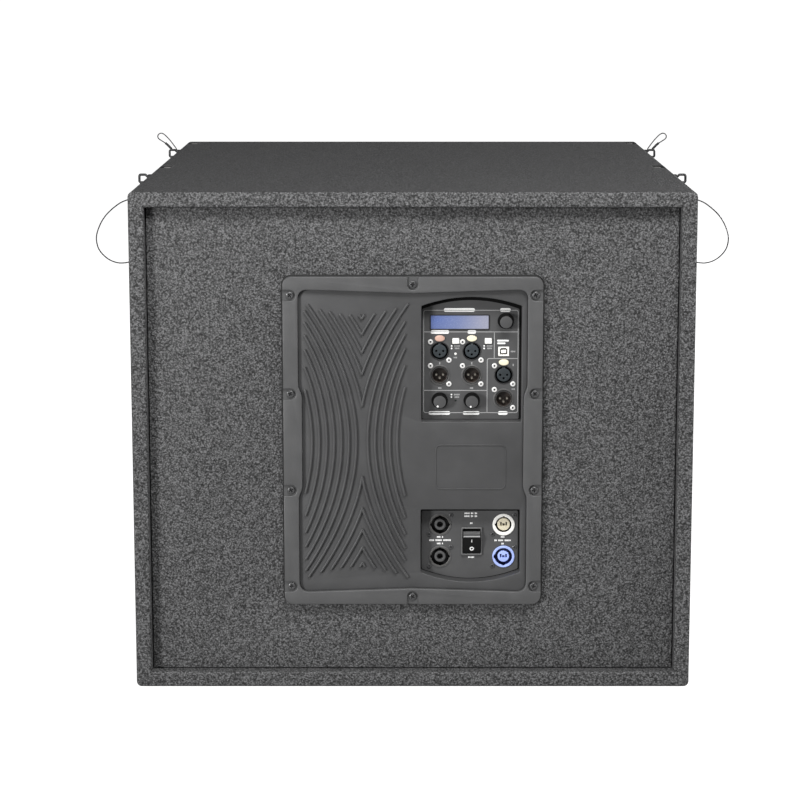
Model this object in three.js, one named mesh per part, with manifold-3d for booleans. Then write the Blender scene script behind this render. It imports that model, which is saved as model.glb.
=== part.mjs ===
// A powered stacking and flying subwoofer: a plywood cabinet with a rear amplifier plate,
// two control panels, four sliding link bars with tethered lock pins, and a single 18 inch driver.
// Millimetres, +Z up. The amplifier faces -Y and the grille faces +Y. Z = 0 is the base.
import * as THREE from 'three';
import { mergeVertices } from 'three/addons/utils/BufferGeometryUtils.js';
import Module from 'manifold-3d';

const wasm = await Module();
wasm.setup();

// ---- driving dimensions ----
const WIDTH = 650;
const DEPTH = 700;
const HEIGHT = 585;
const PANEL = 18;              // plywood thickness
const EDGE = 6;                // rounding of the cabinet's long outer edges
const REAR_INSET = 14;         // the rear panel lies this far inside the rear edges
const HALF_W = WIDTH / 2;
const HALF_D = DEPTH / 2;
const INNER_W = HALF_W - PANEL;
const INNER_TOP = HEIGHT - PANEL;

const REAR_FACE = -HALF_D + REAR_INSET;
const BAFFLE_FRONT = 302;
const PORT_TOP = 78;           // underside of the port shelf
const SHELF_TOP = PORT_TOP + PANEL;

const RAIL_Y = [-42, 323];     // the two rigging stations along each side
const RAIL = { inner: 304, width: 40, bottom: 365, wall: 2.4, cheek: 3, inside: 2.6, floor: 3 };
const LINK = { from: 308.6, to: 316.6, width: 30, top: HEIGHT - 1.5, slot: 9.4 };
const LINK_TRAVEL = 60;
const PIN = { drop: 15, radius: 4, tip: 307.4, hole: 4.45 };
const BAIL = { root: 9, shoulder: 15, reach: 24.5, half: 6.5, thick: 3.2 };   // outward from the side
const POCKET = { from: 309.5, to: 321.5, half: 17, top: 80 };

const HANDLE = { y: 140, z: 300, length: 190, height: 120, mouth: 160, tall: 92, depth: 67, lip: 3 };

const PLATE = { width: 300, height: 388, z: HEIGHT / 2, corner: 10 };
const FLANGE_FACE = REAR_FACE - 8;
const FIELD_FACE = FLANGE_FACE + 5;
const FIELD_BACK = REAR_FACE + 2;
const PANEL_FACE = FIELD_FACE + 15;    // outer face of both connector panels
const SHEET = 2;                       // their thickness
const CLEAR = 0.3;                     // gap between fitted curved or cut faces

const WOOFER_Z = (SHELF_TOP + INNER_TOP) / 2;

// ---- materials ----
const paint = (color, roughness, metalness = 0) =>
  new THREE.MeshStandardMaterial({ color, roughness, metalness });
const MATERIAL = {
  cabinet: paint(0x4b4b4b, 0.85),
  plywood: paint(0xb08d5f, 0.8),
  grille: paint(0x2b2b2b, 0.6, 0.5),
  plate: paint(0x5b5b5b, 0.55, 0.3),
  panel: paint(0x484848, 0.5, 0.2),
  steel: paint(0xb9bcc0, 0.35, 1),
  blackSteel: paint(0x1b1b1b, 0.5, 0.8),
  plastic: paint(0x1a1a1a, 0.5),
  knob: paint(0x303030, 0.45),
  white: paint(0xf0f0f0, 0.4),
  blue: paint(0x4b6fd0, 0.4),
  cream: paint(0xe9dcb6, 0.4),
  display: paint(0x8088a8, 0.15),
  castAlloy: paint(0x2a2a2a, 0.5, 0.6),
  magnet: paint(0x3a3a3c, 0.5, 0.6),
  paper: paint(0x1e1e1e, 0.9),
  rubber: paint(0x141414, 0.85),
  board: paint(0x1f5a35, 0.6),
};

// ---- geometry helpers ----
// Merges the corners, drops the slivers that a lathe leaves on its axis, and turns the faces outward.
function closed(geometry) {
  const bare = geometry.clone();
  for (const name of ['normal', 'uv']) bare.deleteAttribute(name);
  const merged = mergeVertices(bare, 1e-4);
  const at = merged.attributes.position.array;
  const source = merged.index.array;
  const corners = [];
  let volume = 0;
  for (let i = 0; i < source.length; i += 3) {
    const [a, b, c] = source.slice(i, i + 3);
    if (a === b || b === c || a === c) continue;
    corners.push(a, b, c);
    const [ax, ay, az] = at.slice(3 * a, 3 * a + 3);
    const [bx, by, bz] = at.slice(3 * b, 3 * b + 3);
    const [cx, cy, cz] = at.slice(3 * c, 3 * c + 3);
    volume += ax * (by * cz - bz * cy) + ay * (bz * cx - bx * cz) + az * (bx * cy - by * cx);
  }
  if (volume < 0) corners.reverse();
  merged.setIndex(corners);
  return merged;
}

function solid(geometry) {
  const { attributes, index } = closed(geometry);
  return new wasm.Manifold(new wasm.Mesh({
    numProp: 3,
    vertProperties: new Float32Array(attributes.position.array),
    triVerts: new Uint32Array(index.array),
  }));
}

function geometryOf(manifold) {
  const { vertProperties, triVerts } = manifold.getMesh();
  const geometry = new THREE.BufferGeometry();
  geometry.setAttribute('position', new THREE.BufferAttribute(vertProperties, 3));
  geometry.setIndex(new THREE.BufferAttribute(triVerts, 1));
  return geometry;
}

function join(first, others) {
  return geometryOf(others.reduce((sum, geometry) => sum.add(solid(geometry)), solid(first)));
}

function cut(first, others) {
  return geometryOf(others.reduce((left, geometry) => left.subtract(solid(geometry)), solid(first)));
}

const overlap = (first, second) => geometryOf(solid(first).intersect(solid(second)));

function box(x0, x1, y0, y1, z0, z1) {
  return new THREE.BoxGeometry(x1 - x0, y1 - y0, z1 - z0)
    .translate((x0 + x1) / 2, (y0 + y1) / 2, (z0 + z1) / 2);
}

// Extrudes a shape drawn in X and Z along Y, from y0 to y1.
function alongY(shape, y0, y1, curveSegments = 8) {
  const options = { depth: y1 - y0, bevelEnabled: false, curveSegments };
  return new THREE.ExtrudeGeometry(shape, options).rotateX(Math.PI / 2).translate(0, y1, 0);
}

// The same, with openings cut right through it.
const pierced = (shape, openings, y0, y1, curveSegments = 8) => cut(
  alongY(shape, y0, y1, curveSegments),
  openings.map((opening) => alongY(opening, y0 - 1, y1 + 1, curveSegments)));

// Extrudes a shape drawn in Y and Z along X, from x0 to x1.
function alongX(shape, x0, x1, curveSegments = 8) {
  const options = { depth: x1 - x0, bevelEnabled: false, curveSegments };
  return new THREE.ExtrudeGeometry(shape, options)
    .rotateZ(Math.PI / 2).rotateY(Math.PI / 2).translate(x0, 0, 0);
}

// A turned piece about the Y axis through (x, z); the profile lists [radius, y].
function turned(profile, x = 0, z = 0, segments = 20) {
  const points = profile.map(([radius, y]) => new THREE.Vector2(radius, y));
  return new THREE.LatheGeometry(points, segments).translate(x, 0, z);
}

const disc = (radius, y0, y1, x = 0, z = 0, segments = 20) =>
  turned([[0, y0], [radius, y0], [radius, y1], [0, y1]], x, z, segments);

function roundedRect(halfWidth, halfHeight, radius, x = 0, z = 0) {
  const shape = new THREE.Shape();
  const inner = [halfWidth - radius, halfHeight - radius];
  const corners = [[1, 1], [-1, 1], [-1, -1], [1, -1]];
  corners.forEach(([sx, sz], i) => {
    const turn = i * Math.PI / 2;
    shape.absarc(x + sx * inner[0], z + sz * inner[1], radius, turn, turn + Math.PI / 2, false);
  });
  shape.closePath();
  return shape;
}

function rectangle(x0, x1, z0, z1) {
  return new THREE.Shape([[x0, z0], [x1, z0], [x1, z1], [x0, z1]]
    .map(([x, z]) => new THREE.Vector2(x, z)));
}

function ellipse(x, z, halfWidth, halfHeight) {
  const shape = new THREE.Shape();
  shape.absellipse(x, z, halfWidth, halfHeight, 0, 2 * Math.PI, false);
  return shape;
}
const circle = (x, z, radius) => ellipse(x, z, radius, radius);
const window = (x, z, halfWidth, halfHeight) =>
  rectangle(x - halfWidth, x + halfWidth, z - halfHeight, z + halfHeight);

const object = new THREE.Group();

function piece(name, geometry, material, parent = object) {
  const mesh = new THREE.Mesh(closed(geometry), material);
  mesh.name = name;
  parent.add(mesh);
  return mesh;
}

// ---- cabinet ----
const envelope = alongY(
  roundedRect(HALF_W, HEIGHT / 2, EDGE, 0, HEIGHT / 2), -HALF_D, HALF_D, 4);

// What the rails and the bottom pockets take out of the panels, on both sides.
function rigCuts() {
  const cuts = [];
  for (const side of [-1, 1]) {
    for (const y of RAIL_Y) {
      const [a, b] = [side * RAIL.inner, side * (HALF_W + 1)].sort((p, q) => p - q);
      const [c, d] = [side * POCKET.from, side * POCKET.to].sort((p, q) => p - q);
      cuts.push(box(a, b, y - RAIL.width / 2, y + RAIL.width / 2, RAIL.bottom, HEIGHT + 1));
      cuts.push(box(c, d, y - POCKET.half, y + POCKET.half, -1, POCKET.top));
    }
  }
  return cuts;
}

function cabinet() {
  const cuts = rigCuts();
  const lid = (z0, z1) => cut(overlap(envelope,
    box(-HALF_W - 1, HALF_W + 1, -HALF_D, HALF_D, z0, z1)), cuts);
  piece('top_panel', lid(INNER_TOP, HEIGHT + 1), MATERIAL.cabinet);
  piece('bottom_panel', lid(-1, PANEL), MATERIAL.cabinet);

  for (const [name, side] of [['left_side_panel', -1], ['right_side_panel', 1]]) {
    const [a, b] = [side * INNER_W, side * HALF_W].sort((p, q) => p - q);
    const rebate = alongX(roundedRect(
      HANDLE.length / 2 + CLEAR, HANDLE.height / 2 + CLEAR, 12, HANDLE.y, HANDLE.z),
    side > 0 ? HALF_W - HANDLE.lip : -HALF_W - 1, side > 0 ? HALF_W + 1 : -HALF_W + HANDLE.lip, 4);
    const hole = box(a - 1, b + 1, HANDLE.y - HANDLE.mouth / 2 - 3, HANDLE.y + HANDLE.mouth / 2 + 3,
      HANDLE.z - HANDLE.tall / 2 - 3, HANDLE.z + HANDLE.tall / 2 + 3);
    piece(name, cut(box(a, b, -HALF_D, HALF_D, PANEL, INNER_TOP), [...cuts, rebate, hole]),
      MATERIAL.cabinet);
  }

  piece('rear_panel', pierced(rectangle(-INNER_W, INNER_W, PANEL, INNER_TOP),
    [roundedRect(136, 182, 4, 0, PLATE.z)], REAR_FACE, REAR_FACE + PANEL, 4), MATERIAL.cabinet);
  piece('front_baffle', pierced(rectangle(-INNER_W, INNER_W, SHELF_TOP, INNER_TOP),
    [circle(0, WOOFER_Z, 214)], BAFFLE_FRONT - PANEL, BAFFLE_FRONT, 32), MATERIAL.cabinet);
  piece('port_shelf', box(-INNER_W, INNER_W, 20, BAFFLE_FRONT, PORT_TOP, SHELF_TOP), MATERIAL.plywood);
  piece('port_divider', box(-PANEL / 2, PANEL / 2, 20, BAFFLE_FRONT, PANEL, PORT_TOP), MATERIAL.plywood);
}

function grille() {
  const [x, z0, z1] = [303, PANEL + 3, INNER_TOP - 3];
  const shell = box(-x, x, 319, 341, z0, z1);
  const hollow = box(-x + 1.5, x - 1.5, 318, 339.5, z0 + 1.5, z1 - 1.5);
  piece('front_grille', cut(shell, [hollow]), MATERIAL.grille);
}

// A recessed cup with a grip bar across its mouth, seen from the cabinet's side.
function handle(name, side) {
  const face = HALF_W;
  const { y, z, length, height, mouth, tall, depth, lip } = HANDLE;
  const cup = alongX(roundedRect(mouth / 2 + 2.5, tall / 2 + 2.5, 10, y, z), face - depth, face - 0.5, 4);
  const hollow = alongX(roundedRect(mouth / 2, tall / 2, 8, y, z), face - depth + 2.5, face + 1, 4);
  const flange = alongX(roundedRect(length / 2, height / 2, 12, y, z), face - lip + CLEAR, face, 4);
  const bar = new THREE.CylinderGeometry(11, 11, mouth + 2, 16)
    .scale(0.85, 1, 1).translate(face - 16, y, z + 14);
  const made = solid(cup).add(solid(flange)).subtract(solid(hollow)).add(solid(bar));
  const geometry = geometryOf(made);
  piece(name, side > 0 ? geometry : geometry.scale(-1, 1, 1), MATERIAL.plastic);
}

// ---- rigging ----
// Each piece is made for the right side; the left side is its mirror image.
const mirrored = (geometry, side) => (side > 0 ? geometry : geometry.scale(-1, 1, 1));

function rail(y) {
  const half = RAIL.width / 2;
  const blank = overlap(envelope, box(RAIL.inner, HALF_W, y - half, y + half, RAIL.bottom, HEIGHT));
  const bore = box(RAIL.inner + RAIL.inside, HALF_W - RAIL.wall, y - half + RAIL.cheek,
    y + half - RAIL.cheek, RAIL.bottom + RAIL.floor, HEIGHT + 1);
  const pinHole = new THREE.CylinderGeometry(PIN.hole, PIN.hole, 20, 24)
    .rotateZ(Math.PI / 2).translate(HALF_W, y, HEIGHT - PIN.drop);
  return cut(blank, [bore, pinHole]);
}

function linkBar(y) {
  const bottom = RAIL.bottom + RAIL.floor + 0.5;
  const outline = roundedRect(LINK.width / 2, (LINK.top - bottom) / 2, 4, y, (LINK.top + bottom) / 2);
  const [high, low] = [HEIGHT - PIN.drop, HEIGHT - PIN.drop - LINK_TRAVEL - 0.5];
  const slot = new THREE.Shape();
  slot.absarc(y, high, LINK.slot / 2, 0, Math.PI, false);
  slot.absarc(y, low, LINK.slot / 2, Math.PI, 2 * Math.PI, false);
  return cut(alongX(outline, LINK.from, LINK.to, 6), [alongX(slot, LINK.from - 1, LINK.to + 1, 6)]);
}

// A quick-release pin: shaft, collar and an open bail to pull it by.
function lockPin(y) {
  const z = HEIGHT - PIN.drop;
  const along = (radius, from, to) => new THREE.CylinderGeometry(radius, radius, to - from, 24)
    .rotateZ(Math.PI / 2).translate((from + to) / 2, y, z);
  const bail = (inset) => {
    const tall = BAIL.half - inset;
    const outer = HALF_W + BAIL.reach - inset;
    const shoulder = HALF_W + BAIL.shoulder;
    const outline = [[HALF_W + BAIL.root + 2.2 * inset, 0], [shoulder, tall], [outer - 2, tall],
      [outer, tall - 2], [outer, 2 - tall], [outer - 2, -tall], [shoulder, -tall]];
    return new THREE.Shape(outline.map(([x, h]) => new THREE.Vector2(x, z + h)));
  };
  return join(along(PIN.radius, PIN.tip, HALF_W + 2), [
    along(8, HALF_W + 0.6, HALF_W + 4),
    along(5.5, HALF_W + 3, HALF_W + 12),
    pierced(bail(0), [bail(BAIL.thick)], y - BAIL.thick / 2, y + BAIL.thick / 2),
  ]);
}

// Tether routes of the right side: outward from the side face, along Y, and above the top.
const TETHER = { radius: 0.8, sides: 8, steps: 36 };
const NEAR_TETHER = [[21, 0, -22.9], [24.5, -0.5, -31.5], [32.5, -1, -39.5], [48, -2, -46.2],
  [62.5, -3, -57.8], [71.3, -3, -69], [76.9, -4, -81.6], [78.8, -4, -91.6], [76.9, -4, -102.9],
  [71.3, -4, -111.7], [62.5, -3, -119.2], [52.5, -2, -123], [43.7, -1, -123.3], [35, -1, -121.5],
  [16, 0, -116.5], [1.2, 0, -112]];
const FAR_TETHER = [[21.5, 0, -7.1], [27, -0.3, -1.5], [33, -0.8, 2.6], [38.3, -1.5, 6.5], [39.3, -2.4, 10.2],
  [37.4, -3.2, 13.2], [33.7, -4, 14.3], [29.2, -5, 12.2], [22.9, -6, 6], [16.5, -7, -2], [11, -8, -11], [5.5, -8, -32],
  [3.5, -6, -60], [3, -2, -88], [1.2, 0, -112]];

function tether(route, y) {
  const points = route.map(([out, along, up]) =>
    new THREE.Vector3(HALF_W + out, y + along, HEIGHT + up));
  const section = new THREE.Shape(Array.from({ length: TETHER.sides }, (_, i) => {
    const turn = (i / TETHER.sides) * 2 * Math.PI;
    return new THREE.Vector2(TETHER.radius * Math.cos(turn), TETHER.radius * Math.sin(turn));
  }));
  return new THREE.ExtrudeGeometry(section, {
    steps: TETHER.steps, bevelEnabled: false, extrudePath: new THREE.CatmullRomCurve3(points),
  });
}

function rigging() {
  for (const [sideName, side] of [['left', -1], ['right', 1]]) {
    const stations = [['rear', RAIL_Y[0], NEAR_TETHER], ['front', RAIL_Y[1], FAR_TETHER]];
    for (const [placeName, y, route] of stations) {
      const name = `${placeName}_${sideName}`;
      piece(`rail_${name}`, mirrored(rail(y), side), MATERIAL.blackSteel);
      piece(`link_bar_${name}`, mirrored(linkBar(y), side), MATERIAL.steel);
      piece(`lock_pin_${name}`, mirrored(lockPin(y), side), MATERIAL.blackSteel);
      piece(`lanyard_${name}`, mirrored(tether(route, y), side), MATERIAL.blackSteel);
    }
  }
}

// ---- driver ----
function driver() {
  const lathe = (profile, segments = 32) => turned(profile, 0, WOOFER_Z, segments);
  const windows = Array.from({ length: 6 }, (_, i) =>
    box(128, 200, 200, 278, -34, 34).rotateY((i + 0.5) * Math.PI / 3).translate(0, 0, WOOFER_Z));
  piece('woofer_basket', cut(lathe([[230, 310], [230, 302], [210, 302], [210, 288], [114, 182], [60, 182],
    [60, 188], [108, 188], [204, 292], [204, 310], [230, 310]]), windows), MATERIAL.castAlloy);
  piece('woofer_magnet', lathe([[0, 112], [106, 112], [110, 116], [110, 178], [106, 182], [54, 182],
    [54, 140], [46, 140], [46, 182], [0, 182]]), MATERIAL.magnet);
  piece('woofer_cone', lathe([[0, 232], [26, 229], [46, 220], [182, 299], [182, 296], [51, 213],
    [51, 160], [49, 160], [49, 213], [44, 217], [25, 226], [0, 229]]), MATERIAL.paper);
  const roll = (radius) => Array.from({ length: 6 }, (_, i) => {
    const turn = Math.PI * i / 5;
    return [193 + radius * Math.cos(turn), 298 + radius * Math.sin(turn)];
  });
  const half = [...roll(9.8), ...roll(8.4).reverse()];
  piece('woofer_surround', lathe([...half, half[0]]), MATERIAL.rubber);
  const waves = Array.from({ length: 7 }, (_, i) => [52 + i * 9, 197 + (i % 2 ? 2.5 : -2.5)]);
  const back = waves.map(([radius, y]) => [radius, y - 1.2]).reverse();
  piece('woofer_spider', lathe([...waves, ...back, waves[0]]), MATERIAL.rubber);
}

// ---- amplifier plate ----
const amplifier = new THREE.Group();
amplifier.position.z = PLATE.z;      // everything below is drawn about the plate's centre
object.add(amplifier);

// A panel outline: straight sides, and one long edge bowed outward by sag.
function bowedPanel(x0, x1, level, bowed, sag) {
  const middle = (x0 + x1) / 2;
  const shape = new THREE.Shape();
  shape.moveTo(x1, bowed);
  shape.quadraticCurveTo(middle, bowed + 2 * sag, x0, bowed);
  shape.lineTo(x0, level);
  shape.lineTo(x1, level);
  shape.closePath();
  return shape;
}
const controlOutline = (grow) => bowedPanel(10 - grow, 126 + grow, 23.5 - grow, 159.5 + grow, 10.5);
const powerOutline = (grow) => bowedPanel(9.3 - grow, 125.4 + grow, -81.1 + grow, -156.4 - grow, -11.6);

// The sunk field: its ends dip at the middle and its sides step in round the side screws.
function fieldOutline() {
  const [side, waist, corner, end, dip] = [132.5, 128.3, 12, 179.3, 175];
  const shape = new THREE.Shape();
  shape.moveTo(waist, -50);
  shape.lineTo(waist, 50);
  shape.bezierCurveTo(waist, 60, side, 60, side, 70);
  shape.lineTo(side, end - corner);
  shape.quadraticCurveTo(side, end, side - corner, end - 0.4);
  shape.lineTo(0, dip);
  shape.lineTo(corner - side, end - 0.4);
  shape.quadraticCurveTo(-side, end, -side, end - corner);
  shape.lineTo(-side, 70);
  shape.bezierCurveTo(-side, 60, -waist, 60, -waist, 50);
  shape.lineTo(-waist, -50);
  shape.bezierCurveTo(-waist, -60, -side, -60, -side, -70);
  shape.lineTo(-side, corner - end);
  shape.quadraticCurveTo(-side, -end, corner - side, 0.4 - end);
  shape.lineTo(0, -dip);
  shape.lineTo(side - corner, 0.4 - end);
  shape.quadraticCurveTo(side, -end, side, corner - end);
  shape.lineTo(side, -70);
  shape.bezierCurveTo(side, -60, waist, -60, waist, -50);
  return shape;
}

// Cooling ribs: parabolas that bend away from a centre line, closing to a V near both ends.
const RIB = { centre: -59, left: -125, right: -9.5, half: 1.35, bend: 462, height: 3 };
const FULL_RIBS = { first: 6.5, pitch: 8.6, left: 7, right: 5 };
const V_RIBS = [3.8, 13.6, 23.8, 34.5, 45.4];
const ribTop = (x) => 148.4 + 0.00384 * (x + 64.9) ** 2;

// The outline of one rib from height z0 to z1, where place(z) is its centre line.
function ribShape(place, z0, z1, steps) {
  const slope = (z) => (place(z + 0.5) - place(z - 0.5));
  const edge = (z, side) => {
    const long = Math.hypot(1, slope(z));
    return new THREE.Vector2(place(z) + (side * RIB.half) / long, z - (side * RIB.half * slope(z)) / long);
  };
  const heights = Array.from({ length: steps + 1 }, (_, i) => z0 + ((z1 - z0) * i) / steps);
  const tip = (z, way) => new THREE.Vector2(place(z + way * RIB.half), z + way * RIB.half);
  return new THREE.Shape([
    ...heights.map((z) => edge(z, 1)), tip(z1, 1),
    ...heights.reverse().map((z) => edge(z, -1)), tip(z0, -1),
  ]);
}

// How high a rib runs before it meets the field's top or side limit.
function ribEnd(place) {
  let z = 0;
  while (z < ribTop(place(z)) && place(z) > RIB.left && place(z) < RIB.right) z += 0.5;
  return z;
}

function ribs() {
  const shapes = [];
  for (const [side, count] of [[-1, FULL_RIBS.left], [1, FULL_RIBS.right]]) {
    for (let k = 0; k < count; k += 1) {
      const middle = RIB.centre + side * (FULL_RIBS.first + FULL_RIBS.pitch * k);
      const place = (z) => middle + side * z * z / RIB.bend;
      const end = ribEnd(place);
      shapes.push(ribShape(place, -end, end, 8));
    }
    for (const offset of V_RIBS) {
      const apex = Math.sqrt(RIB.bend * offset);
      const place = (z) => RIB.centre + side * (z * z / RIB.bend - offset);
      let end = apex + 1;
      while (end < ribTop(place(end))) end += 0.5;
      shapes.push(ribShape(place, apex, end, 3), ribShape(place, -end, -apex, 3));
    }
  }
  return shapes.map((shape) => alongY(shape, FIELD_FACE - RIB.height, FIELD_FACE + 1));
}

const PLATE_SCREWS = [[1, 1], [1, -1], [-1, 1], [-1, -1]]
  .flatMap(([sx, sz]) => [[sx * 141.5, sz * 172.4], [sx * 141.5, sz * 57.1]])
  .concat([[0, 185], [0, -185]]);

// A screw pocket in the flange, open to the plate's edge.
function screwPocket([x, z]) {
  const radius = 6.3;
  const outward = Math.atan2(x ? 0 : z, x);
  const slot = new THREE.Shape();
  slot.absarc(0, 0, radius, Math.PI / 2, 1.5 * Math.PI, false);
  slot.lineTo(20, -radius);
  slot.lineTo(20, radius);
  return alongY(slot, FLANGE_FACE - 1, FLANGE_FACE + 3, 6).rotateY(-outward).translate(x, 0, z);
}

function ampPlate() {
  const label = pierced(roundedRect(41.1, 26.8, 6.5, 67.4, -30.2),
    [roundedRect(39.9, 25.6, 5.3, 67.4, -30.2)], FIELD_FACE - 0.8, FIELD_FACE + 1, 4);
  const outline = roundedRect(PLATE.width / 2, PLATE.height / 2, PLATE.corner);
  let made = solid(alongY(outline, FLANGE_FACE, REAR_FACE, 4))
    .add(solid(alongY(roundedRect(134, 180, 12), REAR_FACE - 1, FIELD_BACK, 4)))
    .subtract(solid(alongY(fieldOutline(), FLANGE_FACE - 1, FIELD_FACE, 5)));
  for (const panel of [controlOutline, powerOutline]) {
    made = made.add(solid(alongY(panel(2.5), FIELD_FACE + 1, PANEL_FACE + 4, 12)))
      .subtract(solid(alongY(panel(0), FLANGE_FACE - 1, PANEL_FACE + SHEET, 12)))
      .subtract(solid(alongY(panel(-3), FLANGE_FACE - 1, PANEL_FACE + 5, 12)));
  }
  for (const rib of ribs()) made = made.add(solid(rib));
  made = made.add(solid(label));
  for (const screw of PLATE_SCREWS) made = made.subtract(solid(screwPocket(screw)));
  piece('amp_plate', geometryOf(made), MATERIAL.plate, amplifier);
}

function ampInside() {
  const tray = box(-133, 133, FIELD_BACK, -236, -179, 179);
  const hollow = box(-131, 131, FIELD_BACK - 1, -238, -177, 177);
  piece('amp_chassis', cut(tray, [hollow]), MATERIAL.blackSteel, amplifier);
  const board = box(-120, 120, -246, -244, -165, 165);
  const turn = (x, z, radius, height) => disc(radius, -245 - height, -245, x, z, 20);
  const parts = [
    box(-110, -20, -300, -245, -150, 150), box(20, 110, -262, -245, 20, 60),
    turn(70, 110, 38, 40), turn(40, -20, 16, 45), turn(80, -20, 16, 45), turn(60, -80, 16, 45),
  ];
  piece('amp_board', join(board, parts), MATERIAL.board, amplifier);
}

// ---- control panel ----
const FEMALE_XLR = [[31.4, 104.2], [68.7, 104.2], [105.9, 76]];
const MALE_XLR = [[31.4, 76], [68.7, 76], [105.9, 47.8]];
const LATCH_RISE = 15.1;
const BUTTONS = [[50, 116.4], [87.7, 116.4]];
const GAIN_KNOBS = [[31.4, 46.3], [68.7, 46.3]];
const MENU_KNOB = [107.8, 140.2];
const USB = [105.6, 103.9];
const DISPLAY = [20.9, 88, 130.5, 146.3];
const CONTACTS = [[-4, 0], [4, 0], [0, -4]];      // the three contacts about an XLR's centre

function controlPanel() {
  const openings = [
    ...FEMALE_XLR.map(([x, z]) => circle(x, z, 11.5)),
    ...FEMALE_XLR.map(([x, z]) => ellipse(x, z + LATCH_RISE, 6.2, 4.1)),
    ...MALE_XLR.map(([x, z]) => circle(x, z, 12)),
    ...BUTTONS.map(([x, z]) => window(x, z, 4.4, 3.5)),
    ...GAIN_KNOBS.map(([x, z]) => circle(x, z, 3.6)),
    circle(...MENU_KNOB, 3.6),
    window(...USB, 6.7, 5.9),
  ];
  piece('control_panel', pierced(controlOutline(-CLEAR), openings, PANEL_FACE, PANEL_FACE + SHEET, 10),
    MATERIAL.panel, amplifier);

  const [x0, x1, z0, z1] = DISPLAY;
  piece('display', box(x0, x1, PANEL_FACE - 1.2, PANEL_FACE, z0, z1), MATERIAL.display, amplifier);

  const face = PANEL_FACE;
  const contacts = (x, z, radius, y0, y1) =>
    CONTACTS.map(([dx, dz]) => disc(radius, y0, y1, x + dx, z + dz, 10));
  FEMALE_XLR.forEach(([x, z], i) => {
    const cup = turned([[0, face + 14], [9.8, face + 14], [9.8, face - 0.4], [11.1, face - 0.4],
      [11.1, face + 17], [0, face + 17]], x, z);
    const insert = disc(7.9, face + 0.6, face + 15, x, z);
    const body = join(cup, [insert]);
    const socket = cut(body, contacts(x, z, 1.3, face - 1, face + 10));
    piece(`xlr_female_${i + 1}`, socket, MATERIAL.plastic, amplifier);
    piece(`xlr_latch_${i + 1}`, alongY(ellipse(x, z + LATCH_RISE, 5.8, 3.7), face - 2.2, face + 8, 6),
      MATERIAL.cream, amplifier);
  });
  MALE_XLR.forEach(([x, z], i) => {
    const cup = turned([[0, face + 13], [8.95, face + 13], [8.95, face - 1], [11.6, face - 1],
      [11.6, face + 16], [0, face + 16]], x, z);
    const plug = join(cup, contacts(x, z, 1.2, face + 1, face + 14));
    piece(`xlr_male_${i + 1}`, plug, MATERIAL.plastic, amplifier);
  });
  BUTTONS.forEach(([x, z], i) => {
    piece(`push_button_${i + 1}`, box(x - 4.1, x + 4.1, face - 2.8, face + 8, z - 3.15, z + 3.15),
      MATERIAL.white, amplifier);
  });
  GAIN_KNOBS.forEach(([x, z], i) => {
    piece(`gain_knob_${i + 1}`, turned([[0, face - 12], [7.9, face - 12], [9.5, face - 1], [3, face - 1],
      [3, face + 8], [0, face + 8]], x, z, 32), MATERIAL.knob, amplifier);
  });
  const [mx, mz] = MENU_KNOB;
  piece('encoder_shaft', disc(3, face - 9, face + 8, mx, mz), MATERIAL.steel, amplifier);
  piece('menu_knob', turned([[0, face - 13], [7.6, face - 13], [9.5, face - 2], [3.05, face - 2],
    [3.05, face - 9.3], [0, face - 9.3]], mx, mz, 32), MATERIAL.knob, amplifier);

  const [ux, uz] = USB;
  const shell = box(ux - 6.3, ux + 6.3, face - 0.8, face + 14, uz - 5.5, uz + 5.5);
  const socket = box(ux - 4.3, ux + 4.3, face - 2, face + 9, uz - 4, uz + 4);
  const tongue = box(ux - 2.6, ux + 2.6, face + 0.5, face + 10, uz - 1.5, uz + 1.5);
  piece('usb_port', join(cut(shell, [socket]), [tongue]), MATERIAL.white, amplifier);
}

// ---- power panel ----
const SPEAKON = [[32.2, -102.8], [32.2, -141.4]];
const POWERCON = [['out', 106.9, -102.8, 'white'], ['in', 106.9, -141.4, 'blue']];
const SWITCH = { x: 69.4, z: -122.5, halfWidth: 12.2, halfHeight: 16.7 };

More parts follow.
